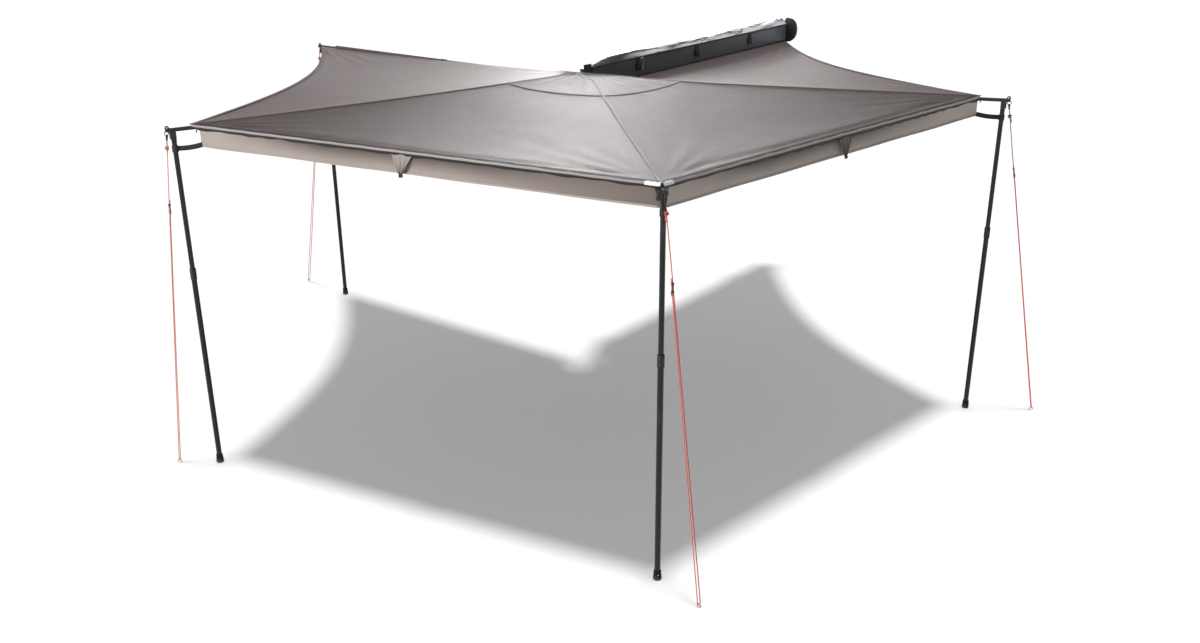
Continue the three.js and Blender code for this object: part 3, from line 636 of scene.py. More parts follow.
def backed(sheet, thick, outward):
    """Turns the sheet's faces towards outward and gives it its thickness behind them."""
    if sum(face.normal.dot(outward) for face in sheet.data.polygons) < 0:
        editing(sheet)
        bpy.ops.mesh.flip_normals()
        bpy.ops.object.mode_set(mode='OBJECT')
    applied(sheet, 'SOLIDIFY', thickness=thick, offset=-1)
    smooth(sheet, 60)
    return sheet


def panel_foot(y):
    """Height of the panel's lower edge, which turns up round its rear corner."""
    short = max(0.0, panel_corner - (y - panel_rear))
    return rail_bottom + panel_corner - math.sqrt(max(0.0, panel_corner ** 2 - short ** 2))


def flat_section(half, below, above, swell):
    """A flat band that is a little wider half way up."""
    return [(-half, -below), (half, -below), (half + swell, 0), (half, above), (-half, above), (-half - swell, 0)]


def panel_spot(u, v):
    y = panel_rear + (case_front - panel_rear) * (u ** 1.35)
    low = panel_foot(y)
    z = low + (rail_top - low) * v
    swell = 0.0011 * noise.noise(Vector((y * 3.1, z * 9, 0.3))) * math.sin(math.pi * v)
    return hub + Vector((wall + 0.0002 + swell, y, z))


inner_side = Vector((1, 0, 0))
bag_face = backed(cloth('bag_face', panel_spot, 150, 12), 0.003, inner_side)
fitted(bag_face, 'case', 'panel', charcoal, 'cover_panel')

# the black binding: along the foot, round the corner, up the rear edge, and a zip line on the top edge
tape_half = 0.006
edge = [(y, rail_bottom + tape_half) for y in (case_front - 0.004, 2.2, 1.9, 1.6, 1.3, 1.0, 0.7, 0.4)]
centre_y, centre_z = panel_rear + panel_corner, rail_bottom + panel_corner
edge += [(centre_y - (panel_corner - tape_half) * math.sin(math.radians(a)),
          centre_z - (panel_corner - tape_half) * math.cos(math.radians(a))) for a in range(0, 91, 9)]
edge += [(panel_rear + tape_half, rail_top - 0.004)]
binding = drawn('bag_binding', [hub + Vector((wall + 0.0012, y, z)) for y, z in edge],
                flat_section(tape_half, 0.0007, 0.0008, 0.0006), inner_side)
zip_points = [hub + Vector((wall + 0.0024, panel_rear + (case_front - panel_rear) * n / 60,
                            rail_top - 0.004 + 0.001 * math.sin(n * 0.9))) for n in range(61)]
bag_zip = drawn('bag_zip', zip_points, [(-0.006, -0.0012), (0.006, -0.0012), (0.0055, 0.0012), (0.002, 0.0022),
                                        (-0.002, 0.0022), (-0.0055, 0.0012)], inner_side)

webbing = Finish('black_webbing', {'Sheen Weight': 0.3, 'Specular IOR Level': 0.35})
ribs = webbing.sine(webbing.place(0, 'UV') * 2600) * webbing.sine(webbing.place(1, 'UV') * 1900)
fluff = webbing.grain(0.03, 4)
webbing.set(Base_Color=webbing.mix(fluff, dye('0c0d0e'), dye('1e2022')), Roughness=0.62 + fluff * 0.2)
webbing.relief(ribs, 0.0004)
for part in (binding, bag_zip):
    fitted(part, 'case', 'strap', webbing)


def eased(value):
    """A climb from 0 to 1 that starts and ends gently."""
    value = min(1.0, max(0.0, value))
    return value * value * (3 - 2 * value)


# the folded flap: two soft layers, flat and dull at the rear, crumpled and glossy towards the front
fold_outline = [(0.02, 0), (0, 0.10), (0.03, 0.22), (0.12, 0.46), (0.24, 0.76), (0.37, 0.95), (0.52, 0.94),
                (0.68, 0.88), (0.84, 0.72), (0.95, 0.50), (1, 0.28), (0.97, 0.03), (0.80, 0), (0.5, 0.02),
                (0.2, 0), (0.02, 0)]
fold_curve = flowing([Vector((a, b, 0)) for a, b in fold_outline], 4)


def fold_spot(u, v):
    """u runs along the bag from its rear, v round the flap's outline."""
    place = v * (len(fold_curve) - 1)
    n = min(int(place), len(fold_curve) - 2)
    shares = fold_curve[n].lerp(fold_curve[n + 1], place - n)
    y = panel_rear + (case_front - panel_rear) * u
    slim = min(1.0, u / 0.09)
    thick = 0.022 + 0.014 * math.exp(-((u - 0.18) / 0.15) ** 2) + 0.018 * eased((u - 0.60) / 0.30)
    thick *= 0.12 + 0.88 * slim ** 0.7
    deep = 0.130 * (0.45 + 0.55 * slim)
    lively = min(1.0, max(0.0, (u - 0.10) / 0.30))
    slant = noise.noise(Vector((y * 4.2 - shares.x * 2.6, shares.x * 1.6 + 4, 1.7)))
    fine = noise.noise(Vector((y * 9 + shares.x * 4, shares.x * 3.5, 8.1)))
    crumple = (0.5 - 2 * abs(slant)) * 0.24 + (0.5 - 2 * abs(fine)) * 0.05 - 0.04
    rise = thick * shares.y * (1 + crumple * lively)
    x = wall + 0.003 - deep * shares.x + 0.006 * lively * fine * (1 - shares.x)
    return hub + Vector((min(x, wall + 0.0045), y, rail_top + 0.0004 + max(0.0, rise)))


flap = cloth('bag_flap', fold_spot, 260, 56)
editing(flap)
bpy.ops.mesh.remove_doubles(threshold=0.0002)
bpy.ops.mesh.select_all(action='DESELECT')
bpy.ops.mesh.select_mode(type='EDGE')
bpy.ops.mesh.select_non_manifold()
bpy.ops.mesh.edge_face_add()
bpy.ops.mesh.select_all(action='SELECT')
bpy.ops.mesh.normals_make_consistent(inside=False)
bpy.ops.object.mode_set(mode='OBJECT')
smooth(flap, 60)

crinkled = Finish('crinkled_pvc', {'Specular IOR Level': 0.9, 'Coat Roughness': 0.24})
dull = crinkled.step(crinkled.place(1), -0.15, 0.15)
creases = crinkled.grain(0.070, 3, (1, 0.45, 1))
wrinkles = crinkled.far(crinkled.grain(0.060, 2, (1, 0.28, 1)) - 0.5)
# the pale streaks along the crumples, strongest towards the front, are painted highlights
painted_glints = crinkled.step(crinkled.grain(0.050, 3, (1, 0.12, 1)) + dull * 0.10, 0.46, 0.60)
painted_glints = painted_glints * crinkled.step(crinkled.place(1), 0.02, 0.34) * crinkled.step(wrinkles, 0.004, 0.028)
black_sheet = crinkled.mix(creases, dye('101214'), dye('33373c'))
crinkled.set(Base_Color=crinkled.mix(painted_glints * 0.9, black_sheet, dye('f2f5f8')),
             Roughness=0.44 - dull * 0.16 + creases * 0.06, Coat_Weight=dull)
crinkled.relief(creases * 0.5 + wrinkles * 1.2, 0.007)
fitted(flap, 'case', 'cover', crinkled, 'cover_fold')

# the bag's front end: a soft D that bulges past the panel, with a welt round its seam
cap_reach, cap_rise = 0.085, 0.043
cap_half = (rail_top - rail_bottom + cap_rise) / 2
cap_middle = rail_bottom + cap_half
cap_seat = 2.490
rail_face, rail_back = wall - 0.0033, wall - 0.0273


def cap_rim(angle, grow):
    """A spot on the D, with grow from 0 at its middle to 1 at its rim."""
    reach = cap_reach * max(0.0, math.cos(angle)) ** 0.7
    rim = Vector((rail_face + reach, 0, cap_middle + cap_half * math.sin(angle)))
    return Vector((rail_face + 0.02, 0, cap_middle)).lerp(rim, grow)


cap_angles = [math.radians(a) for a in range(-90, 91, 6)]
cap_shape = bmesh.new()
rings = []
for deep, grow in ((0.0, 0.985), (0.004, 1.0), (0.022, 1.0), (0.029, 0.985), (0.0335, 0.95), (0.0365, 0.88),
                   (0.038, 0.76), (0.0383, 0.5)):
    ring = [cap_shape.verts.new(hub + cap_rim(a, grow) + Vector((0, cap_seat + deep, 0))) for a in cap_angles]
    back = [cap_rim(math.pi / 2, grow), cap_rim(-math.pi / 2, grow)]
    for share in (0.2, 0.4, 0.6, 0.8):
        z = back[0].z + (back[1].z - back[0].z) * share
        ring.append(cap_shape.verts.new(hub + Vector((rail_back + (1 - grow) * 0.02, cap_seat + deep, z))))
    rings.append(ring)
for low, high in zip(rings, rings[1:]):
    for k in range(len(low)):
        m = (k + 1) % len(low)
        cap_shape.faces.new((low[k], low[m], high[m], high[k]))
cap_shape.faces.new(rings[0])
cap_shape.faces.new(list(reversed(rings[-1])))
bmesh.ops.recalc_face_normals(cap_shape, faces=cap_shape.faces)
cap_mesh = bpy.data.meshes.new('bag_end')
cap_shape.to_mesh(cap_mesh)
cap_shape.free()
bag_end = bpy.data.objects.new('bag_end', cap_mesh)
scene.collection.objects.link(bag_end)
smooth(bag_end, 60)
fitted(bag_end, 'case', 'end_cap', black_pvc, 'front_end_cap')
welt_points = [hub + cap_rim(a, 1.01) + Vector((0, cap_seat + 0.004, 0)) for a in cap_angles]
fitted(drawn('bag_end_welt', welt_points, round_section(0.006, 8)), 'case', 'end_cap', webbing)

# three webbing tails, sewn under the top edge, each with a side release buckle
face = wall + 0.0014
for n, place in enumerate((0.640, 1.300, 1.970)):
    tail = [hub + Vector((face + 0.0012 + 0.0006 * math.sin(k * 0.7), place - 0.002 * math.sin(k * 0.3),
                          rail_top - 0.001 - 0.084 * k / 12)) for k in range(13)]
    strap = drawn(f'bag_strap_{n + 1}', tail, flat_section(0.0185, 0.0008, 0.0009, 0.0005), inner_side)
    fitted(strap, 'case', 'strap', webbing, f'cover_strap_{n + 1}')
    buckle = block(f'bag_buckle_{n + 1}', (0.0055, 0.046, 0.044), 5,
                   hub + Vector((face + 0.0052, place, rail_top - 0.0585)))

    def sunken(spot):
        """The window over the webbing, and the slots beside the two latches."""
        y, z = spot.center.y, spot.center.z
        window = abs(z - 0.0105) < 0.005 and abs(y) < 0.0155
        latch = abs(z + 0.0105) < 0.009 and 0.0075 < abs(y) < 0.0165
        return spot.normal.x > 0.9 and (window or latch)

    pick_faces(buckle, sunken)
    bpy.ops.mesh.inset(thickness=0.0009, depth=-0.0022)
    bpy.ops.object.mode_set(mode='OBJECT')
    for vertex in buckle.data.vertices:
        vertex.co.y *= 1 - 0.18 * max(0.0, 1 - abs(vertex.co.z + 0.006) / 0.008)
    applied(buckle, 'BEVEL', width=0.0009, segments=2, limit_method='ANGLE')
    smooth(buckle, 40)
    fitted(settled(buckle), 'case', 'strap', moulded)
    if n == 0:
        # beside the rear buckle a pale ladder-lock frame shows, with its broad top bar
        ladder = shape('bag_ladder_frame', bpy.ops.mesh.primitive_plane_add, size=1, location=(0, 0, 0))
        ladder.scale = (0.030, 0.082, 1)
        bpy.ops.object.transform_apply(location=False, rotation=False, scale=True)
        editing(ladder)
        bpy.ops.mesh.inset(thickness=0.0035)
        bpy.ops.transform.translate(value=(0, -0.006, 0))
        bpy.ops.mesh.delete(type='FACE')
        bpy.ops.object.mode_set(mode='OBJECT')
        applied(ladder, 'SOLIDIFY', thickness=0.0034, offset=1)
        applied(ladder, 'BEVEL', width=0.0010, segments=2, limit_method='ANGLE')
        ladder.data.transform(Matrix(((0, 0, 1, 0), (1, 0, 0, 0), (0, 1, 0, 0), (0, 0, 0, 1))))
        ladder.data.transform(Matrix.Translation(hub + Vector((face + 0.0006, place + 0.036, rail_top - 0.046))))
        smooth(ladder, 40)
        fitted(ladder, 'case', 'strap', zinc)

# ---------------------------------------------------------------------------------------------
# Arms. Four black anodised box tubes, each on a cranked steel knuckle that turns on the hub pin,
# with a powder coated fork at its tip for the leg, and an eye ring at the very end.

for arm in (1, 2, 3, 4):
    finished(powder, f'arm_{arm}_knuckle', f'arm_{arm}_tip')
    finished(anodised, f'arm_{arm}_tube')
    for n, out in enumerate((0.095, 0.112)):
        spot = by_arm(arm, side_of(arm), out, arm_height - 0.0150)
        rivet = bolt(f'arm_rivet_{arm}_{n + 1}', Vector(), 0.008, 0.003)
        rivet.data.transform(Matrix.Rotation(math.pi, 4, 'X'))
        rivet.data.transform(Matrix.Translation(spot))
        fitted(rivet, f'arm_{arm}', 'steel', zinc)
finished(powder, 'arm_4_clamp')

# ---------------------------------------------------------------------------------------------
# Legs. Two black coated tubes slide in each other, locked by a fluted nylon twist collar, and stand
# on a tapered rubber boot.

satin_tube = Finish('satin_black_tube', {'Specular IOR Level': 0.28, 'Coat Weight': 0.12, 'Coat Roughness': 0.10})
length_marks = satin_tube.grain(0.0014, 2, (1, 1, 0.015))
rubs = satin_tube.step(satin_tube.grain(0.04, 5, (1, 1, 0.2)), 0.62, 0.75)
coat = satin_tube.mix(length_marks, dye('060708'), dye('101214'))
satin_tube.set(Base_Color=satin_tube.mix(rubs * 0.45, coat, dye('3a3d41')), Roughness=0.20 + length_marks * 0.12)
satin_tube.relief(length_marks, 0.00008)

rubber = Finish('black_rubber', {'Specular IOR Level': 0.25})
grit = rubber.grain(0.003, 5)
muddy = rubber.step(rubber.place(2), ground + 0.03, ground) * rubber.grain(0.02, 4)
rubber.set(Base_Color=rubber.mix(muddy, rubber.mix(grit, dye('0a0a0b'), dye('1a1a1b')), dye('6f675c')),
           Roughness=0.78 + grit * 0.15)
rubber.relief(grit, 0.0004)


def turned(name, outline, steps, place):
    """A round piece, spun about its upright axis from a closed outline of radius and height."""
    piece = shape(name, bpy.ops.mesh.primitive_circle_add, vertices=len(outline), radius=1, fill_type='NOTHING')
    for vertex, (radius, height) in zip(piece.data.vertices, outline):
        vertex.co = (radius, 0, height)
    editing(piece)
    bpy.ops.mesh.spin(steps=steps, angle=2 * math.pi, center=(0, 0, 0), axis=(0, 0, 1))
    bpy.ops.mesh.select_all(action='SELECT')
    bpy.ops.mesh.remove_doubles(threshold=1e-6)
    bpy.ops.mesh.normals_make_consistent(inside=False)
    bpy.ops.mesh.select_all(action='DESELECT')
    bpy.ops.object.mode_set(mode='OBJECT')
    piece.data.transform(Matrix.Translation(place))
    return piece


# Their outlines, as radius and height: the collar's from its middle, the boot's from the ground
collar_height, flutes = 1.1, 32
collar_line = [(0.0144, -0.030), (0.0152, -0.030), (0.0162, -0.0285), (0.0162, -0.012), (0.0154, -0.010),
               (0.0162, -0.008), (0.0162, 0.0285), (0.0152, 0.030), (0.0130, 0.030), (0.0130, 0.001), (0.0144, 0.001)]
boot_line = [(0.0, 0.0), (0.0145, 0.0), (0.0178, 0.0012), (0.0195, 0.004), (0.02, 0.008), (0.0198, 0.013),
             (0.0190, 0.020), (0.0181, 0.028), (0.0175, 0.036), (0.0171, 0.042), (0.0174, 0.0436),
             (0.0174, 0.0464), (0.0166, 0.048), (0.0143, 0.048), (0.0143, 0.012), (0.0, 0.012)]
for arm in (1, 2, 3, 4):
    axis = by_arm(arm, side_of(arm), arm_reach, 0)
    finished(satin_tube, f'leg_{arm}_upper_tube', f'leg_{arm}_lower_tube')

    def fluted(spot):
        """Every second face round the collar's outside is a groove."""
        x, y = spot.center.x - axis.x, spot.center.y - axis.y
        sector = int(round((math.atan2(y, x) / (2 * math.pi) * flutes) - 0.5))
        return math.hypot(x, y) > 0.0158 and abs(spot.normal.z) < 0.1 and sector % 2 == 0

    grip = turned(f'leg_collar_{arm}', collar_line, flutes, axis + up * collar_height)
    pick_faces(grip, fluted)
    bpy.ops.mesh.inset(thickness=0.0005, depth=-0.0008, use_individual=True)
    bpy.ops.object.mode_set(mode='OBJECT')
    smooth(grip, 35)
    fitted(grip, f'leg_{arm}_lock', 'plastic', moulded, f'leg_{arm}_collar')

    boot = turned(f'leg_boot_{arm}', boot_line, 40, axis)
    smooth(boot, 35)
    fitted(boot, f'leg_{arm}_lower', 'rubber', rubber, f'leg_{arm}_foot')
    # a pop rivet holds the boot to the tube
    outward = (axis - hub).normalized()
    stud = bolt(f'boot_rivet_{arm}', Vector(), 0.0062, 0.0022)
    stud.data.transform(up.rotation_difference(outward).to_matrix().to_4x4())
    stud.data.transform(Matrix.Translation(axis + outward * 0.0185 + up * 0.030))
    fitted(stud, f'leg_{arm}_lower', 'steel', zinc)

# ---------------------------------------------------------------------------------------------
# Canopy. Four panels of coated taupe polyester, sewn to each other in a raised seam over every arm,
# drawn up to a point at the hub and held flat between the arms' tips and the bag's foot.

cloth_top, apex_height = 1.8696, 1.914
apex = Vector((-0.040, -0.025, 0))              # the canopy's point stands a little behind the hub pin
bag_line, bag_foot = -0.0889, 1.787             # where the first panel meets the bag, across and up
start_reach = 0.008
corner_reach = {1: 2.220, 2: 2.306, 3: 2.256, 4: 2.332}
# The first panel's inner edge over the hub's bracket, in metres from the hub, from the point at the hub on
bag_edge = [(-.0400, -.0170, 1.9140), (-.0389, .0197, 1.9060), (-.0371, .0572, 1.8982), (-.0368, .0931, 1.8901),
            (-.0400, .1250, 1.8815), (-.0462, .1460, 1.8751), (-.0547, .1649, 1.8689), (-.0637, .1825, 1.8616),
            (-.0711, .1995, 1.8520), (-.0769, .2151, 1.8376), (-.0819, .2288, 1.8198), (-.0859, .2437, 1.8026),
            (-.0887, .2625, 1.7905), (-.0889, .2959, 1.7885), (-.0889, .3360, 1.7878), (-.0889, .3786, 1.7872),
            (-.0889, .4200, 1.7870)]
bag_edge_end = bag_edge[-1][1]
bag_edge_bend = (bag_edge_end - start_reach) / (case_front - start_reach)


def ridge(arm, reach):
    """The canopy's upper face over an arm. The far arm lies beside the canopy, half its depth higher."""
    merge = eased(reach / 0.250)
    bare = 1.0 if arm == 4 else 0.0
    rise = max(0.0, 1 - reach / 1.3) ** 4 if arm == 1 else max(0.0, 1 - reach / 2.220) ** 2
    height = cloth_top + (apex_height - cloth_top) * rise - 0.0135 * bare * eased((reach - 0.05) / 0.30)
    return by_arm(arm, (side_of(arm) - bare * 0.0171) * merge, reach, height) + apex * (1 - merge)


def tip(arm):
    return ridge(arm, corner_reach[arm])


def along_bag(share):
    """The first panel's inner edge, from the hub down to the bag's foot and along it."""
    if share >= bag_edge_bend:
        along = (share - bag_edge_bend) / (1 - bag_edge_bend)
        return hub + Vector((bag_line, bag_edge_end + (2.4892 - bag_edge_end) * along, bag_foot))
    place = share / bag_edge_bend * (len(bag_edge) - 1)
    n = min(int(place), len(bag_edge) - 2)
    return hub + Vector(bag_edge[n]).lerp(Vector(bag_edge[n + 1]), place - n)


def taut(panel, u, v):
    """The panel as it is stretched, without its folds: u runs out from the hub, v from arm to arm."""
    share = u * (1 - (0.115 * 4 * v * (1 - v) if panel in (1, 4) else 0.0))
    if panel == 1:
        near = along_bag(share)
    else:
        near = ridge(panel - 1, start_reach + (corner_reach[panel - 1] - start_reach) * share)
    far = ridge(panel, start_reach + (corner_reach[panel] - start_reach) * share)
    spot = near.lerp(far, v)
    spot.z -= 0.030 * 27 * u * u * (1 - u) * v * (1 - v)
    return spot


hem_tuck = {2: 0.0095, 3: 0.0070}                # how deep the cloth dips beside a valanced hem


def crease(panel, u, v):
    """How far the cloth lifts off its stretched shape: pulls from its corners, and slack between."""
    kept = eased(min(v, 1 - v) / 0.10)
    pull = 0.0
    for corner in (0, 1):
        away_u, away_v = (1 - u) * 2.2, abs(v - corner) * 2.5 * max(0.2, u)
        distance = math.hypot(away_u, away_v)
        bearing = math.atan2(away_v, away_u + 1e-6)
        pull += 0.0032 * math.exp(-(distance / 0.42) ** 1.5) * math.sin(bearing * 17 + panel * 1.3 + corner)
    gather = 0.0022 * math.exp(-u / 0.16) * math.sin(v * 31 + panel)
    spot = taut(panel, u, v)
    slack = 0.0030 * noise.noise(Vector((spot.x * 1.9, spot.y * 1.9, panel * 3.7)))
    slack += 0.0010 * noise.noise(Vector((spot.x * 6.0, spot.y * 6.0, panel * 1.7)))
    hem = eased((1 - u) / 0.05)
    tuck = hem_tuck.get(panel, 0.0) * math.exp(-((u - 0.958) / 0.018) ** 2)
    if tuck:
        tuck *= math.sin(math.pi * v) ** 0.6
    return kept * (pull + gather) + kept * slack * hem - tuck


def canopy_spot(panel, u, v, lift=0.0):
    spot = taut(panel, u, v)
    spot.z += crease(panel, u, v) + lift
    return spot


def coated_cloth(name, pale, deep, shine=0.32, bloom=0.08):
    """Coated polyester: fine plain weave with a ripstop thread, and a satin coat with faint rubs."""
    finish = Finish(name, {'Sheen Weight': bloom, 'Sheen Roughness': 0.35, 'Specular IOR Level': shine,
                           'Sheen Tint': (1.0, 0.86, 0.87, 1.0), 'Specular Tint': (1.0, 0.84, 0.865, 1.0)})
    x, y, z = (finish.place(n) for n in (0, 1, 2))
    weave = finish.sine(x * 2100) * finish.sine(y * 2100)
    weave_up = finish.sine((x + y) * 1500) * finish.sine(z * 2100)
    patches = finish.grain(0.9, 3)
    rubbed = finish.grain(0.11, 5)
    finish.set(Base_Color=finish.mix(finish.step(patches * 0.7 + rubbed * 0.3, 0.25, 0.75), dye(deep), dye(pale)),
               Roughness=0.46 + rubbed * 0.10)
    finish.relief(weave * 0.5 + weave_up * 0.5 + rubbed * 1.4, 0.0004)
    return finish


canopy_cloth = coated_cloth('taupe_canopy_cloth', '4b413f', '3e3634', 0.37, 0.03)
# the outer panels take a paler dye than the canopy cloth: painted sheen, beside a stronger shine and sheen in the
# shader
outer_cloth = coated_cloth('taupe_outer_cloth', '5b5150', '4b4342', 0.58, 0.13)


def on_panel(piece, panel, slot, finish, *stands_for):
    """Fits a piece of the canopy to the body that carries its panel: the bag for the first one, its arm for the
    others."""
    if panel == 1:
        fitted(piece, 'case', slot, finish, *stands_for)
        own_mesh(piece)
    else:
        fitted(piece, f'arm_{panel}', slot, finish, *stands_for)
        turn = swing * panel
        tuple(by_arm(panel, side_of(panel) - 0.018, 0, 0))
        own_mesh(piece)


for panel in (1, 2, 3, 4):
    sheet = cloth(f'canopy_cloth_{panel}', lambda u, v, p=panel: canopy_spot(p, u, v), 110, 76)
    on_panel(backed(sheet, 0.001, up), panel, 'canopy', outer_cloth if panel in (1, 4) else canopy_cloth,
             f'canopy_panel_{panel}')

# ---------------------------------------------------------------------------------------------
# Canopy trim: a raised felled seam over each arm, the doubled patch round the hub, hems along the
# outer edges, and the pocket that holds the far arm from its clamp to its tip.

# the seam cloth is dyed paler than the canopy cloth: a painted highlight where the raised seams and hems catch the
# light
sewn = coated_cloth('taupe_seam_cloth', '635a57', '4f4745')

seam_section = [(-0.008, -0.0008), (0.008, -0.0008), (0.0078, 0.0009), (0.0045, 0.0026), (0.0, 0.0034),
                (-0.0045, 0.0026), (-0.0078, 0.0009)]
for arm in (1, 2, 3):
    line = [ridge(arm, 0.012 + (corner_reach[arm] - 0.012) * n / 90) + up * 0.0004 for n in range(91)]
    fitted(drawn(f'ridge_seam_{arm}', line, seam_section, up), f'arm_{arm}', 'canopy', sewn)

patch_reach = {1: 0.56, 2: 0.59, 3: 0.49}
for panel in (2, 3):

    def patch_spot(u, v, p=panel):
        outer = (patch_reach[p - 1] * (1 - v) + patch_reach[p] * v) / 2.28
        outer *= 1 + 0.07 * 4 * v * (1 - v)
        return canopy_spot(p, u * outer, v, 0.0014)

    on_panel(backed(cloth(f'hub_patch_{panel}', patch_spot, 40, 60), 0.0012, up), panel, 'canopy', canopy_cloth)
    rim = [patch_spot(1.0, n / 60) + up * 0.0004 for n in range(61)]
    thin_seam = [(-0.004, -0.0006), (0.004, -0.0006), (0.0035, 0.0008), (0.0, 0.0014), (-0.0035, 0.0008)]
    on_panel(drawn(f'hub_patch_seam_{panel}', rim, thin_seam, up), panel, 'canopy', sewn)

# hems: two dark rows of stitching on top, then over each valance a bead rolled round the edge, dyed pale as a painted
# highlight where the roll catches the light
hem_tape = Finish('dark_hem_tape', {'Specular IOR Level': 0.2})
rows = hem_tape.far(hem_tape.part(hem_tape.place(1, 'UV') * 95) - 0.5)
knots = hem_tape.sine(hem_tape.place(0, 'UV') * 900)
tired = hem_tape.grain(0.05, 4)
hem_tape.set(Base_Color=hem_tape.mix(hem_tape.step(rows + tired * 0.25, 0.20, 0.50), dye('161414'), dye('3b3634')),
             Roughness=0.55 + tired * 0.15)
hem_tape.relief(rows + knots * 0.25, 0.0008)
bead_cloth = coated_cloth('painted_highlight_bead', 'a79f9c', '8a827e')
flat_hem = [(0.020, -0.0014), (0.020, 0.0012), (0.0, 0.0016), (-0.0022, 0.0), (-0.001, -0.0018)]
wide_hem = [(0.030, -0.0010), (0.030, 0.0010), (0.0285, 0.0017), (0.016, 0.0013), (0.003, 0.0019),
            (-0.0008, 0.0010), (-0.0012, -0.0008)]
bead = [(0.0025, -0.0010), (0.0008, 0.0010), (-0.0022, 0.0006), (-0.0048, -0.0016), (-0.0060, -0.0048),
        (-0.0058, -0.0080), (-0.0040, -0.0104), (-0.0010, -0.0110), (0.0008, -0.0090), (0.0010, -0.0050)]
for panel in (1, 2, 3, 4):
    rim = [canopy_spot(panel, 1.0, 0.006 + 0.988 * n / 110, 0.0002) for n in range(111)]
    valanced = panel in (2, 3)
    hem = drawn(f'canopy_hem_{panel}', rim, wide_hem if valanced else flat_hem, up)
    on_panel(hem, panel, 'canopy', hem_tape if valanced else sewn)
    if valanced:
        rolled = [spot + up * (0.0004 * math.sin(n * 0.8)) for n, spot in enumerate(rim)]
        on_panel(drawn(f'canopy_bead_{panel}', rolled, bead, up), panel, 'canopy', bead_cloth)

# the far arm's pocket: the canopy's edge wraps the tube from the clamp out to the tip
lacing_from, clamp_at, pocket_from, pocket_to = 0.130, 1.186, 1.238, 2.196
sleeve_line = []
for n in range(61):
    out = pocket_from + (pocket_to - pocket_from) * n / 60
    spot = by_arm(4, side_of(4) - 0.0008, out, arm_height + 0.0006)
    sleeve_line.append(spot + up * (0.0009 * noise.noise(Vector((out * 16, 0, 5)))))
round_box = [(0.0150 * math.copysign(abs(math.cos(t)) ** 0.6, math.cos(t)),
              0.0172 * math.copysign(abs(math.sin(t)) ** 0.6, math.sin(t)))
             for t in (2 * math.pi * k / 24 for k in range(24))]
fitted(drawn('arm_pocket', sleeve_line, round_box, up), 'arm_4', 'canopy', outer_cloth)
for n, (side, rise) in enumerate(((-0.0155, 0.0062), (-0.0085, 0.0164))):
    pocket_seam = [spot + (by_arm(4, side, 0, 0) - hub) + up * rise for spot in sleeve_line]
    fitted(drawn(f'arm_pocket_seam_{n + 1}', pocket_seam, round_section(0.0030, 6), up), 'arm_4', 'canopy', hem_tape)

# the lacing: from the clamp to the hub a thin cord winds round the bare tube and the canopy's edge
grey_lace = braid('grey_lacing', [(0.0, '8d8883', '5e5a56')], pitch=0.004)
lace = []
lace_pitch = 0.014
turns = int((clamp_at - lacing_from) / lace_pitch)
for n in range(turns * 8 + 1):
    turned_by = 2 * math.pi * n / 8
    out = lacing_from + lace_pitch * n / 8
    lace.append(by_arm(4, side_of(4) - 0.0035 + 0.0180 * math.cos(turned_by), out,
                       arm_height + 0.0003 + 0.0162 * math.sin(turned_by)))
fitted(drawn('arm_lacing', lace, round_section(0.0032, 5)), 'arm_4', 'rope', grey_lace)

# ---------------------------------------------------------------------------------------------
# Valances. Two strips of lighter coated cloth hang under the outer hems, on a black zip, with a
# pleated gusset and a webbing tab half way along each.

valance_cloth = coated_cloth('pale_valance_cloth', 'a99f98', '988e86')
# the first strip's gusset is a darker, browner copy of the second's cloth: painted shade
gusset_cloth = {1: coated_cloth('gusset_cloth_painted_shade', '6f645c', '463d38'),
                2: coated_cloth('grey_gusset_cloth', 'a29a94', '7b726c')}
hung_cloth = {}
# For each strip: its pale and deep dyes, its dye of painted shade, and where along it the painted shade starts and
# ends
hung_dyes = {1: ('c6bcb4', 'b5aba3', '1e1816', 0.30, 0.98), 2: ('aaa099', '9a9088', '38302a', 0.20, 0.94)}
for strip, (pale, deep, shade_dye, shade_from, shade_to) in hung_dyes.items():
    # painted shade darkens the cloth under its zip, most of all half way along
    hung = coated_cloth(f'hung_valance_cloth_{strip}', pale, deep)
    along, drop = hung.place(0, 'UV'), hung.place(1, 'UV')
    reached = hung.step(along, shade_from - 0.20, shade_from + 0.12)
    reached = reached * (1 - hung.step(along, shade_to - 0.22, shade_to + 0.02))
    under = (1 - hung.step(drop + hung.grain(0.25, 2) * 0.20, 0.28, 1.02)) * reached
    unshaded = Strand(hung, hung.shader.inputs['Base Color'].links[0].from_socket)
    shade = hung.mix(under * 0.9, unshaded, dye(shade_dye))
    if strip == 2:
        # towards the near corner the second strip is painted darker still: painted shade
        shade = hung.mix((1 - hung.step(along, 0.0, 0.45)) * 0.85, shade, dye('5d534d'))
    hung.set(Base_Color=shade)
    hung_cloth[strip] = hung
zip_tape = Finish('zip_tape', {'Specular IOR Level': 0.4})
teeth = zip_tape.sine(zip_tape.place(0, 'UV') * 1500)
zip_tape.set(Base_Color=zip_tape.mix(zip_tape.grain(0.01, 3), dye('060607'), dye('151517')),
             Roughness=0.5 + teeth * 0.1)
zip_tape.relief(teeth, 0.0004)

# how far each valance stops short of the arms at its two ends
valance_ends = {1: (0.016, 0.020), 2: (0.020, 0.052)}
under_hem = 0.0022


def outward_of(way, spot):
    """The level direction across way that points away from the hub."""
    out = Vector((way.y, -way.x, 0)).normalized()
    return out if out.dot(spot - hub) > 0 else -out


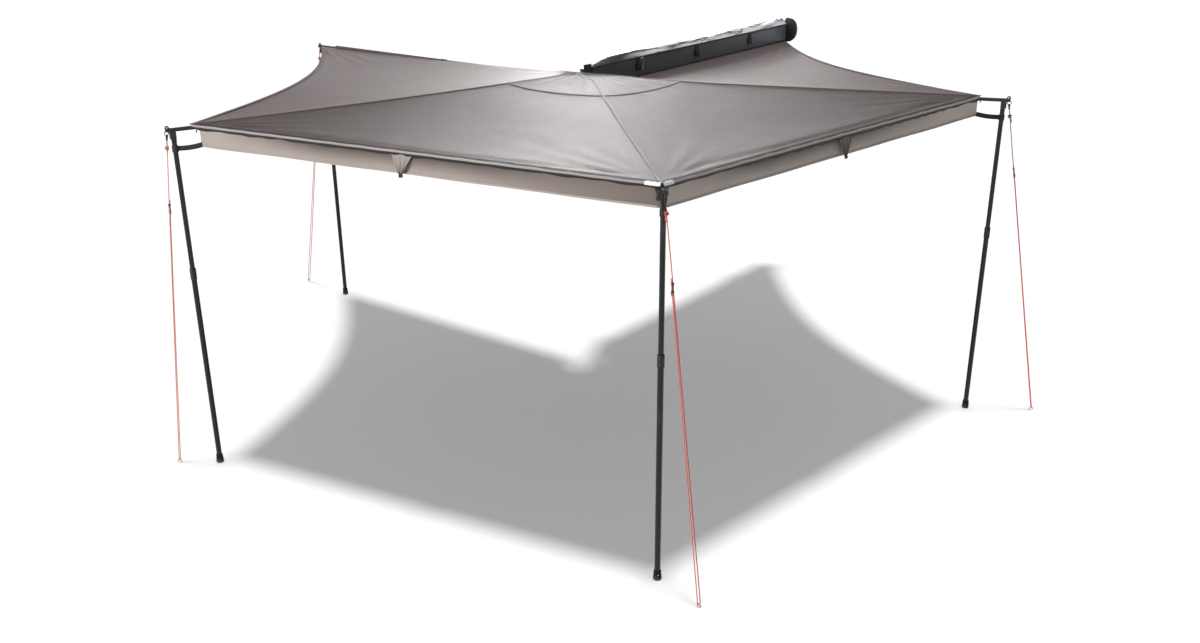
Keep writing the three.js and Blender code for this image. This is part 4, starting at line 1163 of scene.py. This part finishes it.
for strip in (1, 2):
    start, end = tip(strip), tip(strip + 1)
    way = (end - start)
    long = way.length
    way.normalize()
    inward = -outward_of(way, start)
    top = start.z - under_hem
    first_end, last_end = valance_ends[strip]
    panel = strip + 1

    def valance_spot(u, v):
        draw_in = 0.008 * math.sin(math.pi * v)
        from_start = first_end + (draw_in if strip == 1 else 0.0)
        to_end = last_end + (draw_in if strip == 2 else 0.0)
        spot = start + way * (from_start + (long - from_start - to_end) * u)
        wave = math.sin(u * math.pi * 6) * 0.0016 + 0.0012 * noise.noise(Vector((u * 14, v * 2, strip)))
        belly = 0.007 * math.exp(-((u - 0.5) / 0.24) ** 2) * math.sin(math.pi * v) * v
        spot += inward * (0.0026 + 0.0012 * v + wave * v + belly)
        spot.z = top - 0.1045 * v + 0.0012 * math.sin(u * 23 + strip) * v
        return spot

    hanging = backed(cloth(f'valance_cloth_{strip}', valance_spot, 160, 14), 0.0012, -inward)
    on_panel(hanging, panel, 'valance', hung_cloth[strip], f'valance_{strip}')
    zip_line = []
    for n in range(281):
        share = n / 280
        spot = start + way * (first_end + (long - first_end - last_end) * share) - inward * 0.0024
        ripple = 0.0075 * noise.noise(Vector((share * 26, strip, 0))) - 0.0010
        # on the first strip the black tape hangs in scallops over part of its length: a dark shape put in for the
        # scalloped shadow under the zip
        if strip == 1:
            scallop = eased((share - 0.10) / 0.1) * (1 - eased((share - 0.62) / 0.1))
            ripple += 0.0042 * abs(math.sin(share * 95)) * scallop
        spot.z = start.z - 0.0160 - ripple
        zip_line.append(spot)
    tape = drawn(f'valance_zip_{strip}', zip_line, flat_section(0.0015, 0.0072, 0.0060, 0.0006), up)
    on_panel(tape, panel, 'strap', zip_tape)
    fold_line = [valance_spot(n / 120, 0.965) - inward * 0.0004 for n in range(121)]
    bottom_hem = drawn(f'valance_hem_{strip}', fold_line, flat_section(0.0012, 0.005, 0.005, 0.0002), up)
    on_panel(bottom_hem, panel, 'valance', valance_cloth)

    middle = start.lerp(end, 0.5)

    def gusset_spot(u, v):
        half = 0.055 * (1 - v) + 0.011 * v
        pleat = 0.0085 * abs(math.sin((u - 0.5) * 9.5)) * (0.35 + 0.65 * v) + 0.003 * v
        spot = middle + way * ((u - 0.5) * 2 * half + 0.006 * v) - inward * (0.004 + pleat + 0.006 * v)
        spot.z = start.z - 0.0185 - 0.080 * v - 0.003 * math.sin(u * 9)
        return spot

    gusset = backed(cloth(f'valance_gusset_{strip}', gusset_spot, 40, 20), 0.0012, -inward)
    on_panel(gusset, panel, 'valance', gusset_cloth[strip])
    tab_line = [middle + way * (0.006 - 0.004 * n / 6) - inward * (0.014 + 0.001 * n)
                - up * (0.0935 + 0.026 * n / 6) for n in range(7)]
    tab = drawn(f'valance_tab_{strip}', tab_line, flat_section(0.011, 0.0012, 0.0012, 0.0004), -inward)
    on_panel(tab, panel, 'strap', webbing)

# ---------------------------------------------------------------------------------------------
# Corners. Black webbing ties each valance's foot to the leg beside it; the near corner, where the two
# valances meet, has pale gloss patches over the beads and a bundle of webbing under them.

band_height = 1.757
for arm, strip, short in ((1, 1, valance_ends[1][0]), (3, 2, valance_ends[2][1])):
    sewn_at = tip(arm) + (tip(2) - tip(arm)).normalized() * (short + 0.012)
    sewn_at.z = tip(strip).z - under_hem - 0.094
    post = by_arm(arm, side_of(arm), arm_reach, band_height)
    toward = (sewn_at - post).normalized()
    hold = post + toward * 0.0150
    tie_line = [sewn_at.lerp(hold, n / 14) - up * (0.004 * math.sin(math.pi * n / 14)) for n in range(15)]
    tie = drawn(f'corner_tie_{arm}', tie_line, flat_section(0.0009, 0.0125, 0.0125, 0.0002), up)
    tie.data.materials.append(webbing.material)
    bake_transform(tie)

band_line = [(0.0127, -0.016), (0.0150, -0.016), (0.0158, -0.013), (0.0155, 0.0), (0.0158, 0.013),
             (0.0150, 0.016), (0.0127, 0.016)]
for arm in (1, 2, 3, 4):
    grip_band = turned(f'leg_band_{arm}', band_line, 28, by_arm(arm, side_of(arm), arm_reach, band_height))
    smooth(grip_band, 35)
    fitted(grip_band, f'leg_{arm}_upper', 'strap', webbing)
    # an upstanding eye of black nylon closes the end of each arm
    lug = shape(f'arm_eye_{arm}', bpy.ops.mesh.primitive_torus_add, major_radius=0.0068, minor_radius=0.0038,
                major_segments=20, minor_segments=10)
    lug.data.transform(Matrix.Rotation(math.pi / 2, 4, 'Y'))
    for vertex in lug.data.vertices:
        if vertex.co.z < -0.002:
            vertex.co.x *= 1.35
            vertex.co.y *= 1.15
    beside_arm(lug, arm, by_arm(arm, side_of(arm), 2.3660, arm_height + 0.0125))
    smooth(lug)
    fitted(lug, f'arm_{arm}', 'plastic', moulded)

# zip pulls: a short hook of black cord at the outer end of each valance's zip
pull_line = ((0.010, -0.0165), (0.002, -0.0165), (-0.004, -0.0195), (-0.007, -0.0255), (-0.008, -0.0320),
             (-0.005, -0.0350))
for arm, strip, short in ((1, 1, valance_ends[1][0]), (3, 2, valance_ends[2][1])):
    way = (tip(2) - tip(arm)).normalized()
    edge_at = tip(arm) + way * short
    outer = outward_of(way, edge_at)
    hook = [edge_at + way * a + outer * 0.0045 + up * b for a, b in pull_line]
    pull = drawn(f'zip_pull_{strip}', flowing(hook, 4), round_section(0.0058, 8))
    on_panel(pull, strip + 1, 'strap', webbing)

silver = Finish('pale_gloss_patch', {'Specular IOR Level': 0.6, 'Coat Weight': 0.5, 'Coat Roughness': 0.2})
puckers = silver.grain(0.012, 4)
silver.set(Base_Color=silver.mix(puckers, dye('b9b6bd'), dye('e9e8ee')), Roughness=0.25 + puckers * 0.2)
silver.relief(puckers, 0.0016)
corner = tip(2)
gloss = [(0.0055, 0.0018), (-0.0010, 0.0030), (-0.0062, 0.0002), (-0.0082, -0.0060), (-0.0076, -0.0125),
         (-0.0062, -0.0128), (-0.0064, -0.0060), (-0.0048, -0.0008), (0.0, 0.0012), (0.0050, 0.0006)]
for n, (other, length, panel) in enumerate(((3, 0.072, 3), (1, 0.060, 2))):
    way = (tip(other) - corner).normalized()
    strip_line = [corner + way * (0.004 + length * k / 16) + up * (0.0006 * math.sin(k * 1.1))
                  for k in range(17)]
    if other == 1:
        strip_line.reverse()
    on_panel(drawn(f'corner_patch_{n + 1}', strip_line, gloss, up), panel, 'canopy', silver)

# a narrow overlap flap of valance cloth closes each side of the near corner, and gives way to the leg
for strip, other, end_of_map in ((2, 3, 0.0), (1, 1, 1.0)):
    way = (tip(other) - corner).normalized()
    outward = outward_of(way, corner)

    def overlap_spot(u, v):
        behind = 0.0030 + 0.0008 * v + 0.0006 * math.sin(u * 5 + v * 3)
        spot = corner + way * (0.003 + 0.020 * u) - outward * behind
        spot.z = corner.z - under_hem - 0.1035 * v
        return spot

    overlap = backed(cloth(f'valance_overlap_{strip}', overlap_spot, 6, 14), 0.0010, outward)
    for loop in overlap.data.uv_layers[0].data:
        loop.uv[0] = end_of_map
    fitted(overlap, 'arm_2', 'valance', hung_cloth[strip])
    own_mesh(overlap)

# the bundle: three loops of webbing and a loose end of cord, as metres to the arm's right, out past the
# corner, and above the ground
bundle = {
    'webbing_loop_1': [(-0.021, -0.010, 1.848), (-0.016, 0.004, 1.842), (-0.006, 0.014, 1.838), (0.010, 0.012, 1.830),
                       (0.015, 0.004, 1.820), (0.008, -0.002, 1.810)],
    'webbing_loop_2': [(0.021, -0.012, 1.850), (0.018, 0.000, 1.840), (0.014, 0.014, 1.828), (0.014, 0.020, 1.816),
                       (0.018, 0.014, 1.806), (0.017, 0.004, 1.812)],
    'webbing_loop_3': [(-0.016, -0.004, 1.842), (-0.015, 0.012, 1.830), (-0.006, 0.020, 1.820), (0.004, 0.020, 1.814),
                       (0.008, 0.014, 1.822)],
}
near_reach = corner_reach[2]
for name, line in bundle.items():
    curl = flowing([by_arm(2, side_of(2) + a, near_reach + b, c) for a, b, c in line], 5)
    loop = drawn(name, curl, flat_section(0.009, 0.0011, 0.0011, 0.0004), by_arm(2, 0, 1, 0.6) - hub)
    fitted(loop, 'arm_2', 'strap', webbing)
    tuple(by_arm(2, side_of(2), near_reach, 1.850))
    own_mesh(loop)
cord_line = flowing([by_arm(2, side_of(2) + a, arm_reach + b, c) for a, b, c in (
    (0.006, 0.012, 1.800), (0.010, 0.020, 1.792), (0.016, 0.028, 1.780), (0.017, 0.036, 1.768))], 5)
fitted(drawn('corner_cord', cord_line, round_section(0.005, 8)), 'arm_2', 'rope', loop_braid)

# ---------------------------------------------------------------------------------------------
# Cut cloth: the area and width of each canopy panel, and the length of each valance, before they were stretched or
# hung.

open_edge_keeps = 0.80                          # the share that a curved free edge leaves of its triangle
for panel in (1, 2, 3, 4):
    end_a, end_b = (2.490 if panel == 1 else corner_reach[panel - 1]), corner_reach[panel]
    area = 0.5 * end_a * end_b * math.sin(swing) * (open_edge_keeps if panel in (1, 4) else 1.0)
    wide = math.sqrt(end_a ** 2 + end_b ** 2 - 2 * end_a * end_b * math.cos(swing))
    [f'arm_{n}_tube' for n in (panel - 1, panel) if n]
for strip in (1, 2):
    long = (tip(strip) - tip(strip + 1)).length - sum(valance_ends[strip])
    f'canopy_hem_{strip + 1}'
